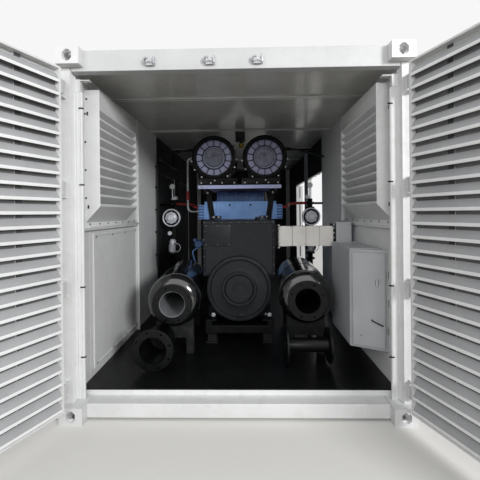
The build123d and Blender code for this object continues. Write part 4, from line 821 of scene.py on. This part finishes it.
# %% [markdown]
# ## Alternator end shield and terminal box
# The end shield is a casting that was turned: a bolted rim, a wide cover, a stepped middle and
# a hub cap. Spinning one profile gives the same rings and the same fine grooves, which catch
# the light as circles. The terminal box is folded sheet with a lid held by screws round its
# edge, and a smaller access plate sits in its upper corner.

# %% End shield
SHIELD = at(954, 0, 708)
shield_profile = [(46, 0), (46, 316), (10, 316), (3, 312), (0, 306), (0, 286), (3, 282), (14, 280),
    (14, 276), (3, 274), (0, 270), (0, 178), (-2, 172), (-8, 169), (-11, 165), (-11, 146), (-8, 142),
    (4, 140), (4, 136), (-10, 133), (-14, 128), (-14, 62), (-11, 58), (-11, 0)]
shield = turned("shield", shield_profile, SHIELD, "x", 96)
tab = slab("tab", (944, -34, 436), (956, 14, 474), 4)
stand_in("alternator_end_shield", [shield, tab], "alternator_paint", smooth=30)
shield_spots = ring_places(12, 297, SHIELD, turn=math.tau / 24)
shield_spots += ring_places(6, 156, at(943, 0, 708), turn=0.26)
screwed("shield_bolts", hex_bolt(14), shield_spots, "alternator_paint")
foot_spots = [facing(948, side, 462) for side in (252, -291)]
foot_spots += [facing(station, sign * 262, 426, (0, 0, 1)) for station in (1075, 1655)
    for sign in (1, -1)]
screwed("foot_bolts", hex_bolt(26), foot_spots)

# %% Terminal box lid, access plate and screws
lid = slab("lid", (993, -349, 828), (1001, 349, 1361), 3)
pressed(lid, (-1, 0, 0), 20, 2)
plate = slab("plate", (986, 78, 1121), (996, 337, 1334), 2.5)
roof_lip = slab("roof_lip", (990, -358, 1358), (1724, 358, 1369), 3)
dress("terminal_box_lid", [lid, plate, roof_lip], "alternator_paint")
lid_spots = [facing(993, side, level) for side in (-339, 339) for level in range(850, 1360, 84)]
lid_spots += [facing(993, side, 1351) for side in range(-254, 260, 84)]
lid_spots += [facing(986, side, level) for side in (92, 208, 323) for level in (1135, 1320)]
screwed("terminal_screws", pan_screw(10), lid_spots, "grimy_paint", "galvanised_steel")

# %% Cable entry plates and lifting eyes on the box
gland_parts = []
for station in (1120, 1300):
    gland_parts.append(turned("gland", [(0, 0), (0, 26), (16, 26), (20, 22), (34, 22), (36, 14),
        (36, 0)], at(station, -190, 1365), "z", 20))
for sign in (1, -1):
    gland_parts.append(turned("eye", flat_ring(7, 14, 30), at(1420, sign * 316, 1392), "y", 24))
dress("box_top_fittings", gland_parts, "alternator_paint")

# %% [markdown]
# ## Silencers and loose pipes
# A silencer is a rolled shell between two dished heads. A short neck carries a drilled flange, and
# through the bore one sees the liner, pale in the left bore; the liner of the right bore and the deep
# end of both are painted black, a painted shade. All of it is turned, so one profile is spun: the
# dished head comes from points on a quarter ellipse. The bolt holes are cut with a Boolean modifier,
# and weld beads are thin rings between the parts.

# %% Turned body with a drilled flange
def drilled(item, places, radius):
    """Cut round holes of a radius in mm through a piece, along the Z of each place."""
    bpy.ops.object.select_all(action="DESELECT")
    bpy.ops.mesh.primitive_cylinder_add(vertices=16, radius=radius * MM, depth=50 * MM)
    drill = copies("drill", bpy.context.object, places)
    cut = item.modifiers.new("holes", "BOOLEAN")
    cut.operation = "DIFFERENCE"
    cut.solver = "EXACT"
    cut.object = drill
    select_only(item)
    bpy.ops.object.modifier_apply(modifier=cut.name)
    bpy.data.objects.remove(drill)
    return item


head = [(4 + 92 * (1 - math.cos(math.radians(t))), 132 + 106 * math.sin(math.radians(t)))
    for t in range(0, 91, 9)]
tail = [(1080 - a * 0.9, r) for a, r in reversed(head)]
body_profile = [(-60, 113), (-60, 170), (-57, 174), (-43, 174), (-40, 170), (-40, 127), (-36, 123),
    (-4, 123), (0, 128)]
body_profile += head + [(104, 238), (106, 241), (114, 241), (116, 238), (520, 238), (522, 241),
    (530, 241), (532, 238), (960, 238)]
body_profile += tail + [(1078, 113), (-60, 113)]
silencer_parts, liner_parts = [], []
for side, level, toe in ((579, 656, 3.7), (-602, 681, -3.7)):
    place = Matrix.Translation(at(670, side, level)) @ Matrix.Rotation(math.radians(toe), 4, "Z")
    shell = turned("silencer", body_profile, steps=80)
    holes = ring_places(8, 146, Vector((-50 * MM, 0, 0)), turn=math.pi / 8)
    shell = drilled(shell, holes, 9)
    shell.matrix_world = place
    silencer_parts.append(shell)
    tube = turned("liner", [(-52, 108), (-52, 112.8), (620, 112.8), (620, 0), (612, 0), (612, 108),
        (-52, 108)], steps=64)
    tube.matrix_world = place
    liner_parts.append(tube)
shells = stand_in("silencers", silencer_parts, "silencer_black", smooth=25)
NECK_END, LINER_END = at(640, 0, 0).x, at(1270, 0, 0).x
repaint(shells, "gas_train_black", lambda face: face.center.x < NECK_END)
liners = dress("silencer_liners", liner_parts, "liner", "galvanised_steel")
# The right liner and the deep end of both liners: black, a painted shade.
repaint(liners, "gas_train_black", lambda face: face.center.y < 0 or face.center.x > LINER_END)

# %% Loose flanged pipes on the floor
LEFT_PIPE, RIGHT_LEVEL = (695, 331), 328
left_pipe = turned("loose", [(0, 111), (0, 167), (4, 171), (16, 171), (20, 167), (20, 122), (26, 118),
    (294, 118), (300, 114), (300, 111), (0, 111)], at(428, *LEFT_PIPE), "x", 64)
left_pipe = drilled(left_pipe, ring_places(8, 146, at(438, *LEFT_PIPE), turn=0.3), 10)
right_pipe = turned("loose", [(0, 50), (0, 142), (3, 146), (17, 146), (20, 142), (20, 62), (26, 58),
    (347, 58), (353, 62), (353, 164), (356, 168), (370, 168), (373, 164), (373, 50), (0, 50)],
    at(560, -767, RIGHT_LEVEL), "y", 64)
right_pipe = drilled(right_pipe, ring_places(8, 120, at(560, -757, RIGHT_LEVEL), (0, -1, 0), 0.4), 9)
right_pipe = drilled(right_pipe, ring_places(8, 140, at(560, -404, RIGHT_LEVEL), (0, 1, 0), 0.2), 9)
stand_in("loose_pipes", [left_pipe, right_pipe], "gas_train_black")

# %% [markdown]
# ## Gas trains
# On each side a standing pipe feeds the engine through a cut-off valve, a filter bowl and a
# round diaphragm regulator. These are castings bolted together at flanges, so they read as a
# stack of turned shapes with bolts round them: each is spun from a profile, and one flange
# master is copied to every joint.

# %% Castings of both trains
def bolted_flange(radius, thickness, bolts):
    """Round flange with a ring of bolts, modelled at the origin along +Z."""
    plate = turned("flange", [(0, 0), (0, radius - 3), (3, radius), (thickness - 3, radius),
        (thickness, radius - 3), (thickness, 0)], axis="z", steps=28)
    studs = copies("studs", hex_bolt(radius * 0.2), ring_places(bolts, radius * 0.78,
        Vector((0, 0, thickness * MM)), (0, 0, 1)))
    return joined("flange", [plate, studs])


TRAIN, TRAIN_SIDE, BOWL_BANDS = 2420, 975, (930, 960, 990)
alloy_parts, black_parts, ring_parts, dial_parts = [], [], [], []
for sign in (1, -1):
    side = sign * TRAIN_SIDE
    flange_spots = [at(TRAIN, side, level) for level in (1568, 1500, 1270, 1090, 868, 790)]
    black_parts += [
        copies("flange", bolted_flange(64, 18, 6), flange_spots),
        turned("stand", [(160, 0), (160, 92), (172, 92), (176, 40), (180, 34), (790, 34), (790, 0)],
            at(TRAIN, side, 0), "z", 24),
    ]
    middle = at(2352, side, 1387)
    ring_parts.append(turned("rim", [(30, 106), (30, 122), (24, 126), (-18, 126), (-26, 122),
        (-28, 116), (-26, 110), (-18, 106), (30, 106)], middle, "x", 56))
    black_parts.append(turned("chamber", [(34, 0), (34, 108), (-4, 108), (-8, 88), (-8, 0)], middle,
        "x", 40))
    alloy_parts += [
        turned("dome", [(-6, 88), (-30, 86), (-38, 78), (-46, 56), (-64, 50), (-70, 44), (-72, 0),
            (-6, 0)], middle, "x", 8),
        copies("rim_bolts", hex_bolt(13), ring_places(8, 70, at(2312, side, 1387), turn=0.2)),
        turned("neck", [(1288, 0), (1288, 44), (1330, 52), (1440, 52), (1486, 44), (1500, 0)],
            at(2412, side, 0), "z", 24),
    ]
    bowl = at(2412, side, 0)
    alloy_parts.append(turned("bowl", [(886, 0), (886, 30), (900, 46), (912, 60), (1010, 60),
        (1018, 48), (1060, 44), (1088, 30), (1088, 0)], bowl, "z", 28))
    for level in BOWL_BANDS:
        alloy_parts.append(turned("band", [(level - 3, 60), (level, 63), (level + 3, 60),
            (level - 3, 60)], bowl, "z", 28))
    ring_parts.append(turned("yoke", flat_ring(5, 60, 67), at(2400, side - 46, 962), "x", 28))
    alloy_parts += [
        turned("plug", [(-8, 0), (-20, 0), (-20, 26), (-14, 30), (0, 30), (0, 0)],
            at(2372, side + 30, 1168), "x", 20),
        bent_tube("elbow", [at(TRAIN, side, 1580), at(TRAIN, side, 1652),
            at(TRAIN, side - sign * 70, 1672)], 26, corner=34, rings=6),
        bent_tube("stem", [at(TRAIN, side, 1640), at(TRAIN, side, 1808)], 8),
    ]
    ring_parts.append(turned("dial_case", [(12, 0), (12, 34), (8, 38), (-12, 38), (-16, 34), (-14, 31),
        (-8, 31), (-8, 0)], at(2418, side, 1830), "x", 32))
    dial_parts.append(turned("dial", [(-7, 0), (-9, 0), (-9, 30), (-7, 30)], at(2418, side, 1830), "x",
        28))
dress("gas_train_castings", alloy_parts, "regulator_alloy", replaces=("regulators",))
dress("regulator_rims", ring_parts, "regulator_alloy", replaces=("pressure_gauges",))
dress("gauge_dials", dial_parts, "dial_white", "regulator_alloy")
dress("gas_train_pipes", black_parts, "gas_train_black")
softened("gas_trains", 3)

# %% [markdown]
# ## Small pipes and gas hoses
# Steel pipes are bent cold round a former, so their corners are arcs. Each route is drawn as a
# chain of points, the corner points are bevelled into arcs, and the chain becomes a curve with
# a round section, which is then turned into a mesh. The gas hoses bend by themselves between
# their two fittings, so they are smooth curves through the same points as their solid ones.

# %% Bent steel pipes
WALL_RUN, WALL_PIPE, CEILING = 2154, 1113, 2465
wall_runs = [bent_tube("pipe", [at(WALL_RUN, WALL_PIPE, 760), at(WALL_RUN, WALL_PIPE, 2185),
    at(3440, WALL_PIPE, 2185), at(3440, WALL_PIPE, 1560)], 15, corner=70, rings=6)]
for sign in (1, -1):
    wall_runs += [
        bent_tube("pipe", [at(3100, sign * 560, CEILING), at(3100, sign * WALL_PIPE, CEILING),
            at(3100, sign * WALL_PIPE, 2215)], 15, corner=60, rings=6),
        bent_tube("pipe", [at(WALL_RUN, sign * WALL_PIPE, 2185), at(WALL_RUN, sign * 700, 2300),
            at(WALL_RUN, sign * 560, 2310)], 12, corner=50, rings=6),
    ]
stand_in("wall_pipes", wall_runs, "gas_train_black")
ENGINE_RUN = (2250, 723)
engine_run = bent_tube("engine_pipe", [at(2200, 292, 2200), at(*ENGINE_RUN, 2200),
    at(*ENGINE_RUN, 1470), at(2250, 530, 1470)], 16, corner=60, rings=6)
finish_piece(engine_run, "galvanised_steel")
sleeve = [(-60, 0), (-60, 20), (-56, 26), (-46, 26), (-42, 23), (42, 23), (46, 26), (56, 26), (60, 20),
    (60, 0)]
finish_piece(turned("pipe_coupling", sleeve, at(*ENGINE_RUN, 1690), "z", 24), "hose_red")
clips = []
for level in (900, 1200, 1500, 1800, 2080):
    clips += [
        turned("clip", flat_ring(9, 15, 19), at(WALL_RUN, WALL_PIPE, level), "z", 20),
        slab("clip", (2146, 1126, level - 9), (2162, 1150, level + 9), 2),
    ]
dress("pipe_clips", clips, "gas_train_black")

# %% Gas hoses
HOSE_ROUTE = [(-0.609, 0.941, 1.580), (-0.609, 0.643, 1.580), (-0.859, 0.643, 1.521),
    (-0.859, 0.533, 1.521)]
for sign, name in ((1, "left_gas_hose"), (-1, "right_gas_hose")):
    route = [(x, sign * y, z) for x, y, z in HOSE_ROUTE]
    line = bpy.data.curves.new(name, "CURVE")
    line.dimensions = "3D"
    spline = line.splines.new("NURBS")
    spline.points.add(len(route) - 1)
    for point, place in zip(spline.points, route):
        point.co = (*place, 1.0)
    spline.order_u = 3
    spline.use_endpoint_u = True
    line.resolution_u = 24
    line.bevel_depth = 19 * MM
    line.bevel_resolution = 5
    line.use_fill_caps = True
    hose = bpy.data.objects.new(name, line)
    scene.collection.objects.link(hose)
    line.materials.append(finishes["hose_red"])
    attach(hose, "enclosure")
    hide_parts("gas_hoses")
clamps = [turned("clamp", flat_ring(8, 18, 22), (x, sign * side * MM, z), "y", 24)
          for sign in (1, -1) for side, (x, _, z) in ((930, HOSE_ROUTE[0]), (545, HOSE_ROUTE[-1]))]
dress("hose_clamps", clamps, "galvanised_steel")

# %% [markdown]
# ## Cloth cable duct
# Between the terminal box and the end box on the wall the power cables run in a square duct of
# coated cloth, stretched over three hoops between two end frames. The cloth bellies a little
# between the hoops and has soft folds there. It starts as a box without its two ends, is
# subdivided into a fine net, and each point is moved out by the belly of its bay and by noise.

# %% Stretched cloth
DUCT_LOW, DUCT_HIGH = at(1020, -926, 1116), at(1170, -393, 1306)
cloth = block("duct_cloth", DUCT_LOW, DUCT_HIGH)
open_mesh(cloth)
pick_faces(cloth, lambda normal: abs(normal.y) > 0.9)
bpy.ops.mesh.delete(type="FACE")
bpy.ops.mesh.select_all(action="SELECT")
bpy.ops.mesh.subdivide(number_cuts=31)
bpy.ops.object.mode_set(mode="OBJECT")
duct_middle = (DUCT_LOW + DUCT_HIGH) / 2
bay = (DUCT_HIGH.y - DUCT_LOW.y) / 4
for vert in cloth.data.vertices:
    phase = ((vert.co.y - DUCT_LOW.y) / bay) % 1.0
    belly = math.sin(math.pi * phase)
    fold = noise.noise(Vector((vert.co.x * 14, vert.co.y * 26, vert.co.z * 14)))
    crease = noise.noise(Vector((vert.co.x * 5, vert.co.y * 9 + vert.co.z * 30, 3.0)))
    out = 1 + 0.03 * belly + 0.018 * fold * belly + 0.02 * crease * belly
    vert.co.x = duct_middle.x + (vert.co.x - duct_middle.x) * out
    vert.co.z = duct_middle.z + (vert.co.z - duct_middle.z) * out
wall = cloth.modifiers.new("cloth_thickness", "SOLIDIFY")
wall.thickness = 1.5 * MM
finish_piece(cloth, "duct_cloth", smooth=60, replaces=("cable_duct",))

# %% Hoops, flanges and bolts of the duct
hoops = []
for side in (-526, -659, -793):
    corners = [at(1018, side, 1114), at(1172, side, 1114), at(1172, side, 1308), at(1018, side, 1308),
        at(1018, side, 1114)]
    hoops.append(bent_tube("hoop", corners, 3.5, sides=8))
dress("duct_hoops", hoops, "cabinet_paint", "duct_cloth")
frames, frame_spots = [], []
for side in (-360, -380, -940, -958):
    frames.append(slab("frame", (996, side - 5, 1092), (1194, side + 5, 1330), 2))
frames += [
    slab("frame", (1020, -394, 1116), (1170, -352, 1306), 2),
    slab("frame", (1020, -966, 1116), (1170, -924, 1306), 2),
]
dress("duct_flanges", frames, "gas_train_black", "duct_cloth")
for side, way in ((-385, -1), (-935, 1)):
    for level in (1104, 1150, 1196, 1242, 1288, 1320):
        frame_spots += [
            facing(1006, side, level, (0, way, 0)),
            facing(996, side + way * 8, level),
        ]
screwed("duct_bolts", hex_bolt(12), frame_spots)

# %% [markdown]
# ## Power cabinet fittings
# The cabinet's door lies on its slanted face. A helper gives places on that face from a share
# across it and a level. The door gets a folded edge, an oval lock cup, three hinge barrels on
# its outer edge and a bent grab handle, and the side panel gets its screws.

# %% Door, lock, hinges and handle
OUTWARD, ACROSS = 0.88, 0.475


def on_door(share, level, out=0.0):
    """Place on the slanted door: share 0 at the inner edge, 1 at the wall, out in mm."""
    return at(435 - 135 * share - out * OUTWARD, -900 - 250 * share + out * ACROSS, level)


fittings = []
edge_run = [on_door(0.06, 392, 6), on_door(0.94, 392, 6), on_door(0.94, 1128, 6),
    on_door(0.06, 1128, 6), on_door(0.06, 392, 6)]
finish_piece(bent_tube("cabinet_door_edge", edge_run, 3.0, sides=8), "cabinet_paint")
cup = turned("cup", [(0, 0), (0, 17), (4, 19), (7, 16), (5, 12), (5, 0)], axis="z", steps=24)
cup.scale = (0.75, 1.5, 1)
apply_all(cup)
door_turn = Matrix(((ACROSS, 0, -OUTWARD, 0), (OUTWARD, 0, ACROSS, 0), (0, 1, 0, 0), (0, 0, 0, 1)))
fittings.append(copies("cup", cup, [Matrix.Translation(on_door(0.72, 897, 7)) @ door_turn]))
for level in (961, 750, 537):
    fittings.append(turned("hinge", [(-26, 0), (-26, 7), (-24, 8), (24, 8), (26, 7), (26, 0)],
        on_door(0.985, level, 9), "z", 16))
fittings.append(turned("dot", [(-4, 0), (-4, 7), (4, 7), (4, 0)], on_door(0.3, 472, 7), "x", 16))
dress("cabinet_fittings", fittings, "galvanised_steel")
grab = bent_tube("cabinet_handle", [on_door(0.58, 604, 6), on_door(0.6, 604, 26),
    on_door(0.84, 576, 26), on_door(0.87, 568, 6)], 5, corner=12)
finish_piece(grab, "gas_train_black", "cabinet_paint")
side_spots = [facing(station, -900, level, (0, 1, 0)) for station, level in ((672, 950), (672, 671),
    (480, 1110), (940, 1110), (480, 410), (940, 410))]
side_spots += [facing(982, side, level) for side in (-965, -1080) for level in (1165, 1325)]
screwed("cabinet_screws", pan_screw(14), side_spots)
lid = slab("cabinet_lid", (420, -1150, 1146), (986, -896, 1154), 2)
pressed(lid, (0, 0, 1), 18, 3)
box_lip = slab("cabinet_lid", (978, -1098, 1339), (1189, -944, 1349), 2)
dress("cabinet_lids", [lid, box_lip], "cabinet_paint")

# %% [markdown]
# ## Charge air cooler and plenum
# The cooler lies across the engine behind the terminal box: a pale blue front plate between two
# end tanks, with ribbed wings outside. Cast ribs stiffen each thin wall. A rib is a bevelled
# bar, and a row of them is one bar copied at the ribs' pitch.

# %% Ribbed walls
def rib_row(name, low, high, step, count, bevel=2):
    """A bar between two corners, copied count times by a step, all in metres."""
    bar = block(name, low, high, bevel=bevel)
    return copies(name, bar, [Vector(step) * i for i in range(count)])


WING_PITCH, PLENUM_PITCH = 0.036, 0.0635
front_plate = slab("plate", (1888, -298, 1370), (1902, 300, 1592), 5)
pressed(front_plate, (-1, 0, 0), 12, 3)
pale_parts = [front_plate]
wing_parts = []
for sign in (1, -1):
    pale_parts.append(slab("tank", (1890, sign * 312, 1372), (1904, sign * 448, 1580), 6))
    wing_parts.append(rib_row("wing_rib", at(1914, sign * 456, 1380), at(1932, sign * 531, 1398),
        (0, 0, WING_PITCH), 5))
    pale_parts.append(slab("flange", (1900, sign * 452 - 8, 1370), (1926, sign * 452 + 8, 1556), 3))
dress("cooler_plates", pale_parts, "engine_blue")
dress("cooler_wing_ribs", wing_parts, "engine_dark_blue")
cooler_spots = [facing(1890, side, 1547) for side in (132, -128)]
cooler_spots += [facing(1889, sign * 380, level) for sign in (1, -1) for level in (1392, 1562)]
screwed("cooler_bolts", hex_bolt(16), cooler_spots, "cast_iron_dark")
low, high = (Vector(corner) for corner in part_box("air_plenum"))
core = block("plenum", low + Vector((0.014, 0.012, 0)), high - Vector((0, 0.012, 0.004)), bevel=8)
ribs = rib_row("plenum_rib", low, Vector((low.x + 0.03, low.y + 0.022, high.z - 0.006)),
    (0, PLENUM_PITCH, 0), 10, bevel=4)
top_ribs = rib_row("plenum_rib", Vector((low.x + 0.02, low.y, high.z - 0.02)),
    Vector((high.x - 0.01, low.y + 0.022, high.z)), (0, PLENUM_PITCH, 0), 10, bevel=4)
foot_lip = block("plenum_lip", Vector((low.x - 0.004, low.y, low.z)),
    Vector((high.x, high.y, low.z + 0.014)), bevel=3)
stand_in("air_plenum", [core, ribs, top_ribs, foot_lip], "engine_dark_blue")

# %% Shelf bolts, strut plates and air pipes
shelf_spots = [facing(1500, side, 1744) for side in (-420, 420)]
shelf_spots += [facing(1850, sign * side, level) for sign in (1, -1)
    for side, level in ((405, 1700), (270, 1395), (330, 1395))]
screwed("shelf_bolts", hex_bolt(18), shelf_spots)
hangers = []
for sign in (1, -1):
    hangers += [
        slab("hanger", (1860, sign * 405 - 60, 1690), (1884, sign * 405 + 60, 1722), 3),
        slab("hanger", (1852, sign * 300 - 60, 1380), (1886, sign * 300 + 60, 1412), 3),
    ]
dress("strut_plates", hangers, "gas_train_black", "cast_iron_dark")
air_ducts = []
for side in (FILTER_SIDE, -FILTER_SIDE):
    air_ducts.append(bent_tube("intake", [at(2080, side, FILTER_LEVEL), at(2480, side, FILTER_LEVEL),
        at(2480, side, 1481), at(2320, side, 1481)], 70, corner=80, sides=28, rings=8))
    for station in (2110, 2360):
        air_ducts.append(turned("band", flat_ring(9, 69, 74), at(station, side, FILTER_LEVEL), "x", 36))
stand_in("intake_pipes", air_ducts, "gas_train_black")

# %% Starter and level rod beside the engine
starter = turned("starter", [(0, 0), (0, 44), (10, 52), (150, 52), (160, 46), (168, 46), (176, 34),
    (176, 0)], at(2040, 556, 1042), "x", 32)
cap = turned("starter", [(0, 0), (0, 20), (60, 20), (66, 14), (66, 0)], at(2000, 596, 1100), "x", 20)
dress("starter_motor", [starter, cap], "engine_dark_blue")
finish_piece(bent_tube("level_rod", [at(2060, 560, 1000), at(2060, 640, 950), at(2060, 560, 660)], 9,
    corner=30), "engine_blue")

# %% [markdown]
# ## Gas sensor and ceiling trims
# A small black housing hangs under the ceiling with a brass measuring cell below it. The battens
# across the ceiling are folded sheet with bright edges, so each gets two thin trims that catch
# the light.

# %% Sensor and battens
housing = slab("sensor", (1989, -66, 2366), (2059, 58, 2504), 6)
pressed(housing, (-1, 0, 0), 9, 4)
neck = turned("sensor", [(2340, 0), (2340, 20), (2366, 24), (2368, 0)], at(2024, -18, 0), "z", 24)
stand_in("gas_sensor", [housing, neck], "gas_train_black")
cell = turned("sensor_cell", [(2290, 0), (2288, 20), (2292, 30), (2318, 30), (2322, 33), (2340, 33),
    (2342, 20), (2342, 0)], at(2024, -18, 0), "z", 24)
finish_piece(cell, "brass", slot_of["gas_sensor"])
trims = []
for station in (775, 1940, 3105, 4270):
    trims += [
        slab("trim", (station - 5, -1110, 2491), (station + 3, 1110, 2501), 2),
        slab("trim", (station + 38, -1110, 2491), (station + 46, 1110, 2497), 2),
    ]
dress("batten_trims", trims, "container_paint", "ceiling_enamel")

# %% [markdown]
# ## Outside fittings
# Seen from the sides, the doors carry the hardware that makes them read as steel doors: rubber
# in the gaps, hinge pins, pressed borders, paddle latches, lock rods in bolted guides. The
# leaves of the left wall are shut, those of the right wall are folded back and show the lining
# and latch rods of their inner face. The gear of the end doors is modelled on a leaf drawn
# shut and then turned round its hinge, so that it swings with that door.

# %% Side doors in the left wall
LEAF_BOTTOM, LEAF_TOP, DOORWAY_TOP = 165, 2022, 2027
SIDE_HINGES = (465, 1093, 1722)


def pin_profile(level, radius):
    """Profile of a hinge pin with eased ends, round its middle level."""
    return [(level - 46, 0), (level - 46, radius - 2), (level - 43, radius), (level + 43, radius),
            (level + 46, radius - 2), (level + 46, 0)]


seal_bits, border_bits, zinc_bits, latch_bits = [], [], [], []
for start, end in ((2333, 3380), (3725, 4698)):
    for near, far, bottom, top in ((start, start + 5, LEAF_BOTTOM, LEAF_TOP),
            (end - 5, end, LEAF_BOTTOM, LEAF_TOP), (start, end, LEAF_TOP, DOORWAY_TOP)):
        seal_bits.append(slab("seal", (near, 1180, bottom), (far, 1211, top)))
    near, far, bottom, top = start + 70, end - 70, LEAF_BOTTOM + 70, LEAF_TOP - 70
    for low, high in (((near, bottom), (far, bottom + 34)), ((near, top - 34), (far, top)),
                      ((near, bottom), (near + 34, top)), ((far - 34, bottom), (far, top))):
        border_bits.append(slab("border", (low[0], 1208, low[1]), (high[0], 1218, high[1]), 4))
    for level in SIDE_HINGES:
        zinc_bits.append(turned("pin", pin_profile(level, 9), at(start, 1217, 0), "z", 16))
        spots = [facing(start + along, 1219, level + rise, (0, 1, 0)) for along in (-30, 30)
            for rise in (-24, 24)]
        zinc_bits.append(copies("screws", pan_screw(12), spots))
    plate = slab("plate", (end - 190, 1208, 1010), (end - 90, 1218, 1170), 4)
    pressed(plate, (0, 1, 0), 9, 6)
    latch_bits += [
        plate,
        slab("paddle", (end - 172, 1210, 1060), (end - 108, 1222, 1156), 5),
    ]
    zinc_bits.append(turned("cylinder", [(-2, 0), (-2, 11), (6, 11), (8, 9), (8, 0)],
        at(end - 140, 1214, 1036), "y", 20))
dress("side_door_seals", seal_bits, "mount_rubber")
dress("side_door_borders", border_bits, "container_paint")

# %% Side doors folded back on the right wall
lining_bits = []
for start, end, free in ((1399, 2441, 1399), (4816, 5784, 5784)):
    lining_bits.append(slab("lining", (start + 60, -1290, 225), (end - 60, -1280, 1962), 3))
    inward = 1 if free == start else -1
    rod_side = free + inward * 32
    for level in (420, 1090, 1760):
        zinc_bits.append(slab("guide", (rod_side - 15, -1296, level),
            (rod_side + 15, -1286, level + 22), 2))
    zinc_bits.append(bent_tube("rod", [at(rod_side, -1292, 178), at(rod_side, -1292, 2010)], 6,
        sides=12))
    latch_bits.append(slab("case", (free + inward * 8, -1300, 1030), (free + inward * 58, -1286, 1150),
        4))
    zinc_bits.append(turned("spindle", [(-1, 0), (-1, 9), (8, 9), (10, 7), (10, 0)],
        at(rod_side, -1309, 1090), "y", 16))
    hinge = 2424 if inward == 1 else 4833
    for level in SIDE_HINGES:
        zinc_bits.append(turned("pin", pin_profile(level, 10), at(hinge, -1228, 0), "z", 16))
dress("folded_door_linings", lining_bits, "lining", "gas_train_black")
dress("side_door_fittings", zinc_bits, "galvanised_steel")
dress("side_door_latches", latch_bits, "gas_train_black")

# %% Lock gear on the end doors
ROD, GUIDES = 26, (145, 1258.5, 2372)
for (name, sign, opened), rods in zip(END_DOORS, ((166, 580), (-164,))):
    pivot = hinge_of(sign)
    turn = Matrix.Rotation(math.radians(-sign * opened), 4, "Z")
    swing = Matrix.Translation(pivot) @ turn @ Matrix.Translation(-pivot)
    gear = []
    for rod in rods:
        spots = [facing(ROD, rod + shift, level + 13) for level in GUIDES for shift in (-25, 25)]
        gear += [
            copies("guide_bolts", hex_bolt(13), spots),
            turned("hub", [(1030, 12), (1030, 17), (1033, 19), (1073, 19), (1076, 17), (1076, 12)],
                at(ROD, rod, 0), "z", 24),
            bent_tube("grip", [at(ROD - 19, rod + sign * 90, 1053),
                at(ROD - 19, rod + sign * 262, 1053)], 9, sides=14),
        ]
        for level in (140, 2400):
            gear.append(turned("collar", [(level, 12), (level, 18), (level + 12, 18), (level + 12, 12)],
                at(ROD, rod, 0), "z", 20))
        gear.append(turned("eye", flat_ring(4, 7, 14), at(ROD - 4, rod + sign * 240, 1022), "x", 20))
    piece = joined(name + "_lock_fittings", gear)
    piece.matrix_world = swing @ piece.matrix_world
    finish_piece(piece, "galvanised_steel", slot_of[name + "_door_locks"], body_of(name + "_door_"))

# %% Screws round the outside louvres
SKIN, REAR_SKIN, REAR_HALF, SCREW_INSET = 1.217, 3.012, 0.578, 0.022
frame_screws = []
panels = [item.co for item in nodes["outer_louvres"].data.vertices]
for sign in (1, -1):
    near = [point for point in panels if sign * point.y > 1.1 and point.x < 0]
    low, high = min(p.x for p in near) + SCREW_INSET, max(p.x for p in near) - SCREW_INSET
    bottom, top = min(p.z for p in near) + SCREW_INSET, max(p.z for p in near) - SCREW_INSET
    spots = [(low + (high - low) * i / 5, level) for i in range(6) for level in (bottom, top)]
    spots += [(station, bottom + (top - bottom) * i / 5) for i in range(1, 5)
        for station in (low, high)]
    frame_screws += [aimed(Vector((x, sign * SKIN, z)), (0, sign, 0)) for x, z in spots]
for i in range(9):
    for level in (722, 1878):
        spot = Vector((REAR_SKIN, -REAR_HALF + 2 * REAR_HALF * i / 8, level * MM))
        frame_screws.append(aimed(spot, (1, 0, 0)))
screwed("louvre_screws", pan_screw(14), frame_screws, "galvanised_steel", "container_paint")
